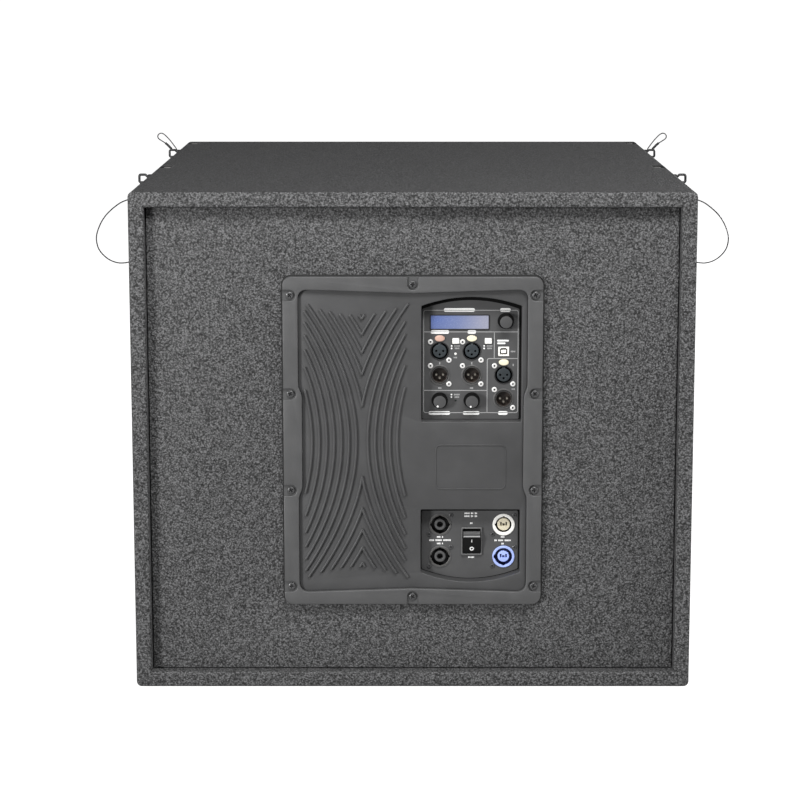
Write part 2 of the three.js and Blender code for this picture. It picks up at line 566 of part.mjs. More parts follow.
function powerPanel() {
  const face = PANEL_FACE;
  const openings = [
    ...SPEAKON.map(([x, z]) => circle(x, z, 12.6)),
    ...POWERCON.map(([, x, z]) => circle(x, z, 12.6)),
    window(SWITCH.x, SWITCH.z, 11.7, 16.2),
  ];
  piece('power_panel', pierced(powerOutline(-CLEAR), openings, face, face + SHEET, 10),
    MATERIAL.panel, amplifier);
  SPEAKON.forEach(([x, z], i) => {
    piece(`speaker_outlet_${i + 1}`, turned([[0, face + 11], [3.6, face + 11], [3.6, face - 0.6],
      [6.55, face - 0.6], [6.55, face + 11], [10.85, face + 11], [10.85, face - 1.4], [12.85, face - 1.4],
      [12.85, face], [12.2, face], [12.2, face + 15], [0, face + 15]], x, z), MATERIAL.plastic, amplifier);
  });
  for (const [name, x, z, colour] of POWERCON) {
    piece(`mains_${name}`, turned([[0, face + 0.4], [7.45, face + 0.4], [7.45, face + 11], [9.9, face + 11],
      [9.9, face - 1.4], [13.1, face - 1.4], [13.1, face], [12.2, face], [12.2, face + 15],
      [0, face + 15]], x, z), MATERIAL[colour], amplifier);
  }
  const { x, z, halfWidth, halfHeight } = SWITCH;
  const bezel = box(x - halfWidth, x + halfWidth, face - 2.5, face, z - halfHeight, z + halfHeight);
  const well = box(x - 11.4, x + 11.4, face - 1, face + 18, z - 15.9, z + 15.9);
  const hollow = box(x - 10.6, x + 10.6, face - 4, face + 16, z - 14.9, z + 14.9);
  piece('switch_frame', cut(join(bezel, [well]), [hollow]), MATERIAL.plastic, amplifier);
  const rocker = new THREE.Shape([[-3.1, -13.8], [-7.5, 5.5], [-3.5, 12.6], [3, 12.6], [9, 6], [9, -6],
    [3, -13.8]].map(([y, up]) => new THREE.Vector2(face + y, z + up)));
  piece('rocker', alongX(rocker, x - 10.2, x + 10.2), MATERIAL.plastic, amplifier);
}

cabinet();
grille();
handle('handle_left', -1);
handle('handle_right', 1);
rigging();
driver();
ampPlate();
ampInside();
controlPanel();
powerPanel();

export default object;
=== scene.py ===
"""A powered stacking and flying subwoofer, seen from its amplifier side.

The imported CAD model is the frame: every piece is made in its coordinates, in metres, rides on one of its
bodies, and either dresses a CAD node or replaces it with a finer mesh. The amplifier faces -Y, +Z is up.
"""

import math

import bmesh
import bpy
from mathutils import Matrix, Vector
from mathutils.geometry import tessellate_polygon


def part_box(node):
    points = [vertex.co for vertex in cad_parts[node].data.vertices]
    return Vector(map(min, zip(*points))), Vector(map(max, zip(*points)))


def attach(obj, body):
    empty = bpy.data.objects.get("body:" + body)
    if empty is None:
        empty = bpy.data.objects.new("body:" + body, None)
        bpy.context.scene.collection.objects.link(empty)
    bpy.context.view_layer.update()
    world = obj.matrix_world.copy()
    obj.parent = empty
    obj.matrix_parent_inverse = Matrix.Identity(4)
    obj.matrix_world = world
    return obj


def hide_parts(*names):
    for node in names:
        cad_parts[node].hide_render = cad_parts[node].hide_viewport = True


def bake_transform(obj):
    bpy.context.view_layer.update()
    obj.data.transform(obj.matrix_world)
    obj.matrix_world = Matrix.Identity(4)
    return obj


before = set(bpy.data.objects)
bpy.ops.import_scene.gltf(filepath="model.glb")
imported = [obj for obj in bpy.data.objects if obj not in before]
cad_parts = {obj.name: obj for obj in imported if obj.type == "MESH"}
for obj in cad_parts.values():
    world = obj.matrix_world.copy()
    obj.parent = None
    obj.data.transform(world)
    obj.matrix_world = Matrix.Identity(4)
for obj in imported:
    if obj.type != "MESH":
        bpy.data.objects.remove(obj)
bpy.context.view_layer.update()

MM = 0.001
TURN = 2 * math.pi


def low(node):
    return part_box(node)[0]


def high(node):
    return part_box(node)[1]


def middle(node):
    return (low(node) + high(node)) / 2


# ---- sizes read from the frame ----
LEFT, RIGHT = low("top_panel").x, high("top_panel").x
REAR, FRONT = low("top_panel").y, high("top_panel").y
TOP = high("top_panel").z
PANEL = TOP - low("top_panel").z
REAR_FACE = low("rear_panel").y
FLANGE = low("amp_plate").y                      # outer face of the amplifier plate
FIELD = FLANGE + 5 * MM                          # its sunk field
PANEL_FACE = low("power_panel").y                # outer face of both connector panels
PLATE_Z = middle("amp_plate").z
SIDES = (("left", -1), ("right", 1))
STATIONS = ("rear", "front")

# ---- camera ----
CAMERA_AT = (-0.0042, -2.8786, 0.8508)
CAMERA_PITCH = 8.87
CAMERA_LENS = 100.5
CAMERA_SHIFT = (-0.0114, -0.12)

scene = bpy.context.scene
scene.view_settings.view_transform = "Standard"


def add_camera():
    data = bpy.data.cameras.new("camera")
    data.lens = CAMERA_LENS
    data.sensor_width = 36
    data.shift_x, data.shift_y = CAMERA_SHIFT
    camera = bpy.data.objects.new("camera", data)
    camera.location = CAMERA_AT
    camera.rotation_euler = (math.radians(90 - CAMERA_PITCH), 0, 0)
    scene.collection.objects.link(camera)
    scene.camera = camera


add_camera()


# ---- materials ----
class Nodes:
    """A material's node tree, with short calls to add and join its nodes."""

    def __init__(self, name):
        self.material = bpy.data.materials.new(name)
        self.material.use_nodes = True
        self.tree = self.material.node_tree
        self.shader = self.tree.nodes["Principled BSDF"]
        self.place = self.add("ShaderNodeTexCoord").outputs["Object"]

    def add(self, kind, joined=None, **values):
        """A node with its own values, and with the inputs in joined linked to other nodes."""
        node = self.tree.nodes.new(kind)
        for key, value in values.items():
            if key in node.inputs:
                node.inputs[key].default_value = value
            else:
                setattr(node, key, value)
        for key, source in (joined or {}).items():
            self.tree.links.new(source, node.inputs[key])
        return node

    def feed(self, name, source):
        self.tree.links.new(source, self.shader.inputs[name])

    def noise(self, scale, detail=2, rough=0.5, stretch=None):
        place = self.place
        if stretch:
            place = self.add("ShaderNodeMapping", {"Vector": place}, Scale=stretch).outputs["Vector"]
        return self.add("ShaderNodeTexNoise", {"Vector": place}, Scale=scale, Detail=detail,
                        Roughness=rough).outputs["Fac"]

    def cells(self, scale, smooth=0.6):
        return self.add("ShaderNodeTexVoronoi", {"Vector": self.place}, feature="SMOOTH_F1", Scale=scale,
                        Smoothness=smooth).outputs["Distance"]

    def ramp(self, source, stops):
        node = self.add("ShaderNodeValToRGB", {"Fac": source})
        elements = node.color_ramp.elements
        while len(elements) < len(stops):
            elements.new(0.5)
        for element, (position, colour) in zip(elements, stops):
            element.position = position
            element.color = (*colour, 1)
        return node.outputs["Color"]

    def span(self, source, lowest, highest, start=0.3, end=0.7):
        """Source stretched from start..end to lowest..highest."""
        limits = {"From Min": start, "From Max": end, "To Min": lowest, "To Max": highest}
        return self.add("ShaderNodeMapRange", {"Value": source}, **limits).outputs["Result"]

    def sum(self, first, second, share=1.0):
        """First plus a share of second."""
        node = self.add("ShaderNodeMath", {0: second, 2: first}, operation="MULTIPLY_ADD")
        node.inputs[1].default_value = share
        return node.outputs["Value"]

    def bump(self, height, distance):
        node = self.add("ShaderNodeBump", {"Height": height}, Distance=distance, Strength=1.0)
        self.feed("Normal", node.outputs["Normal"])

    def set(self, **values):
        names = {"rough": "Roughness", "metal": "Metallic", "coat": "Coat Weight",
                 "coat_rough": "Coat Roughness", "specular": "Specular IOR Level"}
        for key, value in values.items():
            self.shader.inputs[names[key]].default_value = value
        return self


def shade(colour, factor):
    return tuple(min(1.0, channel * factor) for channel in colour)


def textured_paint(name, colour):
    """Sprayed structure paint: pebbles two or three millimetres across, with fine grit on them."""
    n = Nodes(name).set(rough=0.6, specular=0.4)
    pebbles = n.noise(430, 3, 0.6)
    lumps = n.cells(520)
    grit = n.noise(1500, 2)
    height = n.sum(n.sum(pebbles, lumps, -0.55), grit, 0.18)
    # The colour follows the bump's height: painted shade in the hollows and a painted highlight on the tops
    # of the pebbles.
    stops = [(0.14, shade(colour, 0.2)), (0.34, colour), (0.54, shade(colour, 2.4))]
    n.feed("Base Color", n.ramp(height, stops))
    n.feed("Roughness", n.span(grit, 0.5, 0.72))
    n.bump(height, 1.3 * MM)
    return n.material


def moulded(name, colour, rough=0.45, grain=1500, depth=0.04, metal=0.0, vary=0.25, **more):
    """Moulded plastic, cast metal or a flat coat of paint, with a fine grain and slow stains."""
    n = Nodes(name).set(metal=metal, **more)
    grit = n.noise(grain, 2)
    stains = n.noise(45, 3)
    stops = [(0.35, shade(colour, 1 - vary)), (0.68, colour), (0.95, shade(colour, 1 + vary))]
    n.feed("Base Color", n.ramp(n.sum(stains, grit, 0.35), stops))
    n.feed("Roughness", n.span(grit, rough * 0.85, rough * 1.15))
    n.bump(grit, depth * MM)
    return n.material


def plated_steel():
    """Zinc plate with fine level lines."""
    colour, rough = (0.66, 0.65, 0.62), 0.3
    n = Nodes("zinc_steel").set(metal=1.0)
    lines = n.noise(60, 3, 0.6, (1, 1, 14))
    stains = n.noise(70, 3)
    stops = [(0.4, shade(colour, 0.8)), (0.9, shade(colour, 1.15))]
    n.feed("Base Color", n.ramp(n.sum(stains, lines, 0.3), stops))
    n.feed("Roughness", n.span(lines, rough * 0.75, rough * 1.3))
    n.bump(lines, 0.03 * MM)
    return n.material


def display_glass():
    """An unlit display behind clear glass, which is bluer towards its left end."""
    n = Nodes("display_glass").set(coat=1.0, coat_rough=0.04)
    across = n.add("ShaderNodeSeparateXYZ", {"Vector": n.place}).outputs["X"]
    along = n.span(across, 0, 1, low("display").x, high("display").x)
    haze = n.sum(along, n.noise(60, 2), 0.12)
    stops = [(0.03, (0.09, 0.135, 0.34)), (0.5, (0.16, 0.2, 0.37)), (1.0, (0.31, 0.32, 0.41))]
    n.feed("Base Color", n.ramp(haze, stops))
    n.feed("Roughness", n.span(n.noise(900, 2), 0.2, 0.3))
    n.bump(n.noise(40, 2), 0.02 * MM)
    return n.material


def plywood():
    n = Nodes("bare_plywood").set(rough=0.7)
    grain = n.noise(12, 5, 0.6, (1, 18, 18))
    n.feed("Base Color", n.ramp(grain, [(0.3, (0.42, 0.28, 0.15)), (0.7, (0.62, 0.46, 0.28))]))
    n.bump(grain, 0.1 * MM)
    return n.material


def circuit_board():
    n = Nodes("circuit_board").set(rough=0.4, specular=0.6)
    tracks = n.cells(260, 0.1)
    stops = [(0.2, (0.02, 0.1, 0.05)), (0.6, (0.03, 0.2, 0.08)), (0.8, (0.12, 0.3, 0.12))]
    n.feed("Base Color", n.ramp(tracks, stops))
    n.bump(tracks, 0.1 * MM)
    return n.material


PAINT = textured_paint("textured_black_paint", (0.066, 0.066, 0.067))
# Darker paint for the top face: painted shade, for the top gets less light than the rear.
SHADED_TOP_PAINT = textured_paint("top_painted_shade_paint", (0.038, 0.038, 0.039))
PLATE = moulded("plate_grey_paint", (0.076, 0.076, 0.077), 0.45, 1100, 0.07, vary=0.12, specular=0.5)
FIELD_PAINT = moulded("field_grey_paint", (0.055, 0.055, 0.056), 0.5, 1100, 0.07, vary=0.12, specular=0.5)
SHEET = moulded("panel_grey_paint", (0.068, 0.068, 0.069), 0.5, 1700, vary=0.14)
PRINT = moulded("white_print", (0.93, 0.93, 0.92), 0.5, 2200, 0.01, vary=0.04)
PALE_PRINT = moulded("pale_print", (0.36, 0.36, 0.36), 0.5, 2200, 0.01, vary=0.12)
BLACK = moulded("black_plastic", (0.012, 0.012, 0.013), 0.42)
INSERT = moulded("insert_plastic", (0.03, 0.037, 0.042), 0.4)
RIM_GREY = moulded("grey_plastic", (0.07, 0.07, 0.071))
BORE = moulded("dark_brown_plastic", (0.04, 0.03, 0.025), 0.45, 900, 0.2, vary=0.6)
# A pale grey: the switch bezel's own tone, and on thin rings round the sockets' rims a painted highlight of
# their edges.
PALE_RIM_AND_HIGHLIGHT = moulded("pale_rim_and_painted_highlight", (0.13, 0.13, 0.13), 0.4, depth=0.03)
PIN_METAL = moulded("contact_pin", (0.42, 0.39, 0.34), 0.35, depth=0.02, metal=0.8, vary=0.1)
BRIGHT = moulded("nickel_plate", (0.92, 0.91, 0.89), 0.3, depth=0.02, metal=0.35, vary=0.08)
COLLAR = moulded("socket_collar", (0.1, 0.098, 0.096), 0.35, metal=0.3)
MATT_BLACK = moulded("matt_black", (0.004, 0.004, 0.004), 0.7, specular=0.1)
ROCKER = moulded("rocker_plastic", (0.005, 0.005, 0.005), 0.5, specular=0.2)
KNOB = moulded("knob_face", (0.06, 0.06, 0.061), 0.5, 1900, 0.05)
WHITE = moulded("white_plastic", (0.92, 0.91, 0.87), 0.3, depth=0.02, vary=0.06, coat=0.3)
IVORY = moulded("ivory_plastic", (0.72, 0.66, 0.5), 0.35, depth=0.02, vary=0.08)
BLUE = moulded("blue_plastic", (0.4, 0.5, 0.95), 0.3, depth=0.02, vary=0.08, coat=0.3)
DEEP_BLUE = moulded("deep_blue_plastic", (0.004, 0.008, 0.09), 0.4, depth=0.02, vary=0.1)
CREAM = moulded("cream_tab", (0.86, 0.8, 0.6), 0.35, depth=0.03, vary=0.1)
BRONZE = moulded("bronze_tab", (0.55, 0.36, 0.29), 0.35, depth=0.03, vary=0.15)
SCREW_BLACK = moulded("blackened_screw", (0.12, 0.12, 0.122), 0.3, depth=0.03, metal=0.6)
BLACK_STEEL = moulded("black_steel", (0.016, 0.016, 0.017), 0.45, 1300, 0.06, specular=0.6)
ROPE = moulded("coated_rope", (0.014, 0.014, 0.015), 0.4, 3000, 0.1, coat=0.3)
GRILLE = moulded("grille_powder_coat", (0.014, 0.014, 0.014), 0.5, 2500, 0.05)
ALLOY = moulded("black_cast_alloy", (0.02, 0.02, 0.021), 0.5, 900, 0.1, metal=0.4)
FERRITE = moulded("ferrite", (0.05, 0.05, 0.052), 0.6, 700, 0.1, metal=0.3)
PAPER = moulded("coated_paper", (0.02, 0.02, 0.02), 0.75, 400, 0.25)
RUBBER = moulded("treated_cloth", (0.012, 0.012, 0.012), 0.7, 1200, 0.2)
ZINC = plated_steel()
GLASS = display_glass()
PLYWOOD = plywood()
BOARD = circuit_board()


# ---- mesh helpers ----
def from_rear(u, v, depth):
    """u to the right and v up as seen from behind the object; depth grows towards the front."""
    return Vector((u, depth, v))


def from_front(u, v, depth):
    """As from_rear, but seen from the front: depth is minus Y."""
    return Vector((u, -depth, v))


def from_side(side):
    """u along +Y and v up; depth grows inward from the side face of that side."""
    return lambda u, v, depth: Vector((-side * depth, u, v))


def linked(name, bm):
    """An object of that mesh, in the scene."""
    mesh = bpy.data.meshes.new(name)
    bm.to_mesh(mesh)
    bm.free()
    obj = bpy.data.objects.new(name, mesh)
    scene.collection.objects.link(obj)
    return obj


def add_object(name, bm, material, body="root", node=None, smooth_angle=40):
    """A finished piece: faces out, smooth where it bends little, riding on its body in place of its node."""
    bmesh.ops.recalc_face_normals(bm, faces=bm.faces)
    obj = linked(name, bm)
    obj.data.set_sharp_from_angle(angle=math.radians(smooth_angle))
    for one in material if isinstance(material, list) else [material]:
        obj.data.materials.append(one)
    if body:
        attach(obj, body)
    if node:
        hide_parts(node)
    return obj


def offset_loop(loop, distance):
    """The loop moved to its left by distance, with mitred corners."""
    moved = []
    for before, here, after in zip(loop[-1:] + loop[:-1], loop, loop[1:] + loop[:1]):
        a = (here - before).normalized()
        b = (after - here).normalized()
        left = Vector((-a.y, a.x))
        mitre = left + Vector((-b.y, b.x))
        moved.append(here + mitre * (distance / max(mitre.dot(left), 0.3)))
    return moved


def tidy_loop(loop, turn):
    """The loop without doubled points, turned the way asked: 1 for an outline, -1 for a hole."""
    points = [Vector(p) for p in loop]
    points = [p for i, p in enumerate(points) if (p - points[i - 1]).length > 1e-6]
    twice_area = sum(p.cross(q) for p, q in zip(points, points[1:] + points[:1]))
    return points if twice_area * turn > 0 else points[::-1]


def skewed(point):
    """The point in millimetres, turned so that no two corners of a tidy outline are level."""
    turn = 0.37
    return Vector((point.x * math.cos(turn) - point.y * math.sin(turn),
                   point.x * math.sin(turn) + point.y * math.cos(turn), 0)) / MM


def strip(bm, near, far, index):
    """Smooth faces between two rings of vertices, either of which may be a single point."""
    count = max(len(near), len(far))
    for i in range(count):
        j = (i + 1) % count
        corners = (near[i % len(near)], near[j % len(near)], far[j % len(far)], far[i % len(far)])
        face = bm.faces.new(list(dict.fromkeys(corners)))
        face.smooth = True
        face.material_index = index


def slab(bm, place, outline, holes, front, back, round_front=0.0, round_back=0.0, steps=3, index=0,
         share=1.0):
    """A plate with an outline and holes, from depth front to depth back, its edges rounded; share scales
    the rounding at the holes."""
    def levels(loop, share):
        """The loops of one edge from the back to the front, as (loop, depth)."""
        stack = []
        for radius, level, way in ((share * round_back, back, -1), (share * round_front, front, 1)):
            angles = [math.pi / 2 * i / steps for i in range(steps + 1 if radius else 1)]
            stack = stack[::-1] + [(offset_loop(loop, radius * (1 - math.cos(angle))),
                                    level + way * radius * (1 - math.sin(angle))) for angle in angles]
        return stack

    loops = [tidy_loop(outline, 1)] + [tidy_loop(hole, -1) for hole in holes]
    stacks = [levels(loop, share if number else 1) for number, loop in enumerate(loops)]
    walls = [[[bm.verts.new(place(p.x, p.y, depth)) for p in points] for points, depth in stack]
             for stack in stacks]
    for rings in walls:
        for near, far in zip(rings, rings[1:]):
            strip(bm, near, far, index)
    for end in (0, -1):
        corners = [vert for rings in walls for vert in rings[end]]
        if len(loops) == 2 and len(loops[0]) == len(loops[1]):
            count = len(loops[0])
            outside, inside = corners[:count], corners[:count - 1:-1]
            faces = [(outside[i - 1], outside[i], inside[i], inside[i - 1]) for i in range(count)]
        else:
            level_loops = [[skewed(p) for p in stack[end][0]] for stack in stacks]
            faces = [[corners[i] for i in triangle] for triangle in tessellate_polygon(level_loops)]
        for face in faces:
            bm.faces.new(face).material_index = index


def spun(bm, place, u, v, profile, segments=48, index=0, flutes=0, share=0.0):
    """A piece turned about a line through (u, v); profile lists (radius, depth), and flutes wave its widest
    part by a share of its radius."""
    widest = max(radius for radius, _ in profile)
    rings = []
    for radius, depth in profile:
        wave = share if radius > 0.8 * widest else 0.0
        ring = []
        for i in range(segments if radius else 1):
            angle = TURN * i / segments
            reach = radius * (1 + wave * math.cos(flutes * angle))
            ring.append(bm.verts.new(place(u + reach * math.cos(angle), v + reach * math.sin(angle), depth)))
        rings.append(ring)
    for near, far in zip(rings, rings[1:]):
        strip(bm, near, far, index)


def tube(bm, points, radius, sides=10, closed=False):
    """A round tube along points; its ends are capped unless it closes on itself."""
    count = len(points)
    normal = None
    rings = []
    for i, point in enumerate(points):
        before = points[i - 1] if closed or i else point
        after = points[(i + 1) % count] if closed or i + 1 < count else point
        along = (after - before).normalized()
        if normal is None:
            normal = along.orthogonal().normalized()
        normal = (normal - along * normal.dot(along)).normalized()
        side = along.cross(normal)
        angles = [TURN * k / sides for k in range(sides)]
        rings.append([bm.verts.new(point + radius * (normal * math.cos(angle) + side * math.sin(angle)))
                      for angle in angles])
    for near, far in zip(rings, rings[1:] + (rings[:1] if closed else [])):
        strip(bm, near, far, 0)
    if not closed:
        bm.faces.new(rings[0])
        bm.faces.new(rings[-1])


# ---- outlines ----
def rect(x0, x1, z0, z1):
    return [(x0, z0), (x1, z0), (x1, z1), (x0, z1)]


def arc(x, z, radius, start, end, steps):
    return [(x + radius * math.cos(start + (end - start) * i / steps),
             z + radius * math.sin(start + (end - start) * i / steps)) for i in range(steps + 1)]


def circle(x, z, radius, steps=40):
    return arc(x, z, radius, 0, TURN, steps)[:-1]


def oval(x, z, half_width, half_height, steps=36):
    return [(x + half_width * math.cos(TURN * i / steps), z + half_height * math.sin(TURN * i / steps))
            for i in range(steps)]


def rounded(x0, x1, z0, z1, radius, steps=6):
    points = []
    for x, z, quarter in ((x1, z1, 0), (x0, z1, 1), (x0, z0, 2), (x1, z0, 3)):
        cx = x - math.copysign(radius, x - (x0 + x1) / 2)
        cz = z - math.copysign(radius, z - (z0 + z1) / 2)
        points += arc(cx, cz, radius, quarter * math.pi / 2, (quarter + 1) * math.pi / 2, steps)
    return points


def centred(x, z, half_w, half_h, radius=0.0, steps=6):
    """A rectangle about (x, z), rounded if it has a radius."""
    sides = (x - half_w, x + half_w, z - half_h, z + half_h)
    return rounded(*sides, radius, steps) if radius else rect(*sides)


def bezier(*controls, steps=12):
    points = []
    for i in range(steps + 1):
        level = [Vector(c) for c in controls]
        while len(level) > 1:
            level = [a.lerp(b, i / steps) for a, b in zip(level, level[1:])]
        points.append(tuple(level[0]))
    return points


def fillet(points, radius, steps=5):
    """The outline with each sharp corner rounded off."""
    loop = [Vector(p) for p in points]
    rounded_off = []
    for before, here, after in zip(loop[-1:] + loop[:-1], loop, loop[1:] + loop[:1]):
        a, b = before - here, after - here
        bend = math.pi - a.angle(b)
        if bend < 0.5:
            rounded_off.append(tuple(here))
            continue
        reach = min(radius * math.tan(bend / 2), 0.45 * a.length, 0.45 * b.length)
        rounded_off += bezier(here + a.normalized() * reach, here, here + b.normalized() * reach, steps=steps)
    return rounded_off


def four_quarters(points):
    """An outline from its first quarter, which runs from the +X axis to the +Z axis."""
    back = points[::-1]
    return [*points, *((-x, z) for x, z in back), *((-x, -z) for x, z in points),
            *((x, -z) for x, z in back)]


def on_plate(x, z):
    """Millimetres from the amplifier plate's centre, as metres in the frame."""
    return x * MM, PLATE_Z + z * MM


def about(points):
    return [on_plate(x, z) for x, z in points]


def flat(bm, outline, holes, front, back, rounding=0.0, base=PANEL_FACE, **more):
    """A slab on the amplifier plate, all in millimetres: outlines from its centre, depths from base."""
    slab(bm, from_rear, about(outline), [about(hole) for hole in holes], base + front * MM, base + back * MM,
         rounding * MM, **more)


# ---- lanyards: wire rope from each lock pin back to the cabinet's side ----
ROPE_DIAMETER = 1.6 * MM
# Routes of the right side in millimetres: outward from the side face, along Y, and above the top.
NEAR_ROUTE = ((21, 0, -22.9), (24.5, -0.5, -31.5), (32.5, -1, -39.5), (48, -2, -46.2), (62.5, -3, -57.8),
              (71.3, -3, -69), (76.9, -4, -81.6), (78.8, -4, -91.6), (76.9, -4, -102.9), (71.3, -4, -111.7),
              (62.5, -3, -119.2), (52.5, -2, -123), (43.7, -1, -123.3), (35, -1, -121.5), (16, 0, -116.5),
              (1.2, 0, -112))
FAR_ROUTE = ((21.5, 0, -7.1), (27, -0.3, -1.5), (33, -0.8, 2.6), (38.3, -1.5, 6.5), (39.3, -2.4, 10.2),
             (37.4, -3.2, 13.2), (33.7, -4, 14.3), (29.2, -5, 12.2), (22.9, -6, 6), (16.5, -7, -2),
             (11, -8, -11), (5.5, -8, -32), (3.5, -6, -60), (3, -2, -88), (1.2, 0, -112))


def smooth_route(points, steps=6):
    """Points along a smooth curve through the given ones."""
    ends = [2 * points[0] - points[1], *points, 2 * points[-1] - points[-2]]
    route = []
    for a, b, c, d in zip(ends, ends[1:], ends[2:], ends[3:]):
        for i in range(steps):
            t = i / steps
            route.append(0.5 * (2 * b + (c - a) * t + (2 * a - 5 * b + 4 * c - d) * t ** 2
                                + (3 * b - 3 * c + d - a) * t ** 3))
    return [*route, points[-1]]


def sleeve(name, points, radius, material, body):
    bm = bmesh.new()
    tube(bm, points, radius, 16)
    return add_object(name, bm, material, body)


def lanyard(station, name, side, route):
    y = middle(f"rail_{station}_{name}").y
    points = smooth_route([Vector((side * (RIGHT + out * MM), y + along * MM, TOP + up * MM))
                           for out, along, up in route])
    pin = f"pin_{station}_{name}"
    bm = bmesh.new()
    tube(bm, points, ROPE_DIAMETER / 2, 8)
    rope = add_object(f"lanyard_rope_{station}_{name}", bm, ROPE, None)
    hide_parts(f"lanyard_{station}_{name}")
    bail = points[0] + (points[0] - points[2]).normalized() * 2.4 * MM
    crimp = sleeve(f"lanyard_crimp_{station}_{name}", [bail, *points[:9]], 1.7 * MM, BLACK_STEEL, pin)
    anchor = sleeve(f"lanyard_anchor_{station}_{name}", points[-6:-1], 1.6 * MM, BLACK_STEEL, "root")
    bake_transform(rope)


for name, side in SIDES:
    lanyard("rear", name, side, NEAR_ROUTE)
    lanyard("front", name, side, FAR_ROUTE)


# ---- cabinet ----
EDGE = 6 * MM                       # rounding of the cabinet's long edges
STACKING_POCKET = (309.5, 321.5)    # nearest and farthest X of the pockets that take another cabinet's bars
STACKING_HALF = 17 * MM
SPARE = 5 * MM                      # how far a cutting tool reaches past what it cuts


def carve(target, tool, operation):
    """The target's mesh after a boolean with the tool."""
    modifier = target.modifiers.new("carve", "BOOLEAN")
    modifier.object = tool
    modifier.operation = operation
    modifier.solver = "EXACT"
    modifier.use_self = operation == "DIFFERENCE"
    bpy.context.view_layer.update()
    mesh = bpy.data.meshes.new_from_object(target.evaluated_get(bpy.context.evaluated_depsgraph_get()))
    target.modifiers.clear()
    return mesh


def helper(name, bm):
    bmesh.ops.recalc_face_normals(bm, faces=bm.faces)
    return linked(name, bm)


def cabinet_cuts():
    """The slots of the rigging rails, the stacking pockets and the openings of the handles."""
    bm = bmesh.new()
    for station in STATIONS:
        for name, side in SIDES:
            lo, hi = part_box(f"rail_{station}_{name}")
            out = Vector((SPARE, 0, 0))
            a, b = (lo - out, hi) if side < 0 else (lo, hi + out)
            slab(bm, from_rear, rect(a.x, b.x, a.z, b.z + SPARE), [], a.y, b.y)
            x0, x1 = sorted(side * x * MM for x in STACKING_POCKET)
            y = (lo.y + hi.y) / 2
            slab(bm, from_rear, rect(x0, x1, -SPARE, 80 * MM), [], y - STACKING_HALF, y + STACKING_HALF)
    for name, side in SIDES:
        lo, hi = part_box(f"handle_{name}")
        place = from_side(side)
        gap, flange_y, flange_z = 0.3 * MM, 12 * MM, 11 * MM
        slab(bm, place, rounded(lo.y - gap, hi.y + gap, lo.z - gap, hi.z + gap, 12 * MM), [],
             -RIGHT - SPARE, -RIGHT + 3 * MM)
        slab(bm, place, rect(lo.y + flange_y, hi.y - flange_y, lo.z + flange_z, hi.z - flange_z), [],
             -RIGHT + 2 * MM, -RIGHT + PANEL + SPARE)
    return helper("cutter", bm)


def cabinet():
    """The four outer panels, carved from one rounded tube so that the paint runs on across their joints."""
    bm = bmesh.new()
    slab(bm, from_rear, rounded(LEFT, RIGHT, 0, TOP, EDGE),
         [rect(LEFT + PANEL, RIGHT - PANEL, PANEL, TOP - PANEL)], REAR, FRONT, 3 * MM, 3 * MM, 4)
    shell = helper("shell", bm)
    cutter = cabinet_cuts()
    shell.data = carve(shell, cutter, "DIFFERENCE")
    out = 20 * MM
    for node, x0, x1, z0, z1 in (
        ("top_panel", LEFT - out, RIGHT + out, TOP - PANEL, TOP + out),
        ("bottom_panel", LEFT - out, RIGHT + out, -out, PANEL),
        ("left_side_panel", LEFT - out, 0, PANEL, TOP - PANEL),
        ("right_side_panel", 0, RIGHT + out, PANEL, TOP - PANEL),
    ):
        bm = bmesh.new()
        slab(bm, from_rear, rect(x0, x1, z0, z1), [], REAR - out, FRONT + out)
        tool = helper("tool", bm)
        mesh = carve(shell, tool, "INTERSECT")
        bpy.data.objects.remove(tool)
        bm = bmesh.new()
        bm.from_mesh(mesh)
        bmesh.ops.remove_doubles(bm, verts=bm.verts, dist=1e-6)
        for face in bm.faces:
            face.smooth = face.calc_area() < 4e-3 and max(abs(c) for c in face.normal) < 0.999
            # Faces of the top panel that look up take the darker paint, a painted shade.
            face.material_index = int(node == "top_panel" and face.normal.z > 0.9)
        add_object(f"{node}_painted", bm, [PAINT, SHADED_TOP_PAINT], node=node,
                   smooth_angle=30)
    bpy.data.objects.remove(shell)
    bpy.data.objects.remove(cutter)


def rear_board():
    """The rear panel with eased edges, which leave a groove along the rim, and a black ring round the plate:
    a painted shadow of the gap between plate and panel.
    """
    lo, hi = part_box("rear_panel")
    gap = 0.9 * MM
    bm = bmesh.new()
    slab(bm, from_rear, rect(lo.x + gap, hi.x - gap, lo.z + gap, hi.z - gap),
         [about(centred(0, 0, 136, 182, 4))], lo.y, hi.y, 1.6 * MM)
    add_object("rear_board", bm, PAINT, node="rear_panel")
    # A black ring standing out round the plate's edge: painted shadow of the gap there.
    bm = bmesh.new()
    flat(bm, centred(0, 0, 151.7, 195.7, 12), [centred(0, 0, 145, 189, 8)], -1, 0, base=lo.y)
    add_object("plate_shadow_ring", bm, RUBBER)


# ---- CAD nodes that stay, with their own finish ----
def dress(node, material, bevel=0.0):
    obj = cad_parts[node]
    obj.data.materials.clear()
    obj.data.materials.append(material)
    if bevel:
        edges = obj.modifiers.new("edges", "BEVEL")
        edges.width = bevel * MM
        edges.segments = 2
        edges.limit_method = "ANGLE"
        edges.angle_limit = math.radians(40)


def dress_cad_nodes():
    dress("front_baffle", PAINT)
    dress("woofer_basket", ALLOY)
    dress("amp_board", BOARD)
    dress("port_shelf", PLYWOOD, 0.6)
    dress("port_divider", PLYWOOD, 0.6)
    dress("amp_chassis", BLACK_STEEL, 0.5)
    dress("encoder_shaft", ZINC, 0.3)
    for station in STATIONS:
        for name, _ in SIDES:
            dress(f"rail_{station}_{name}", BLACK_STEEL, 0.4)
            dress(f"link_bar_{station}_{name}", ZINC, 0.6)


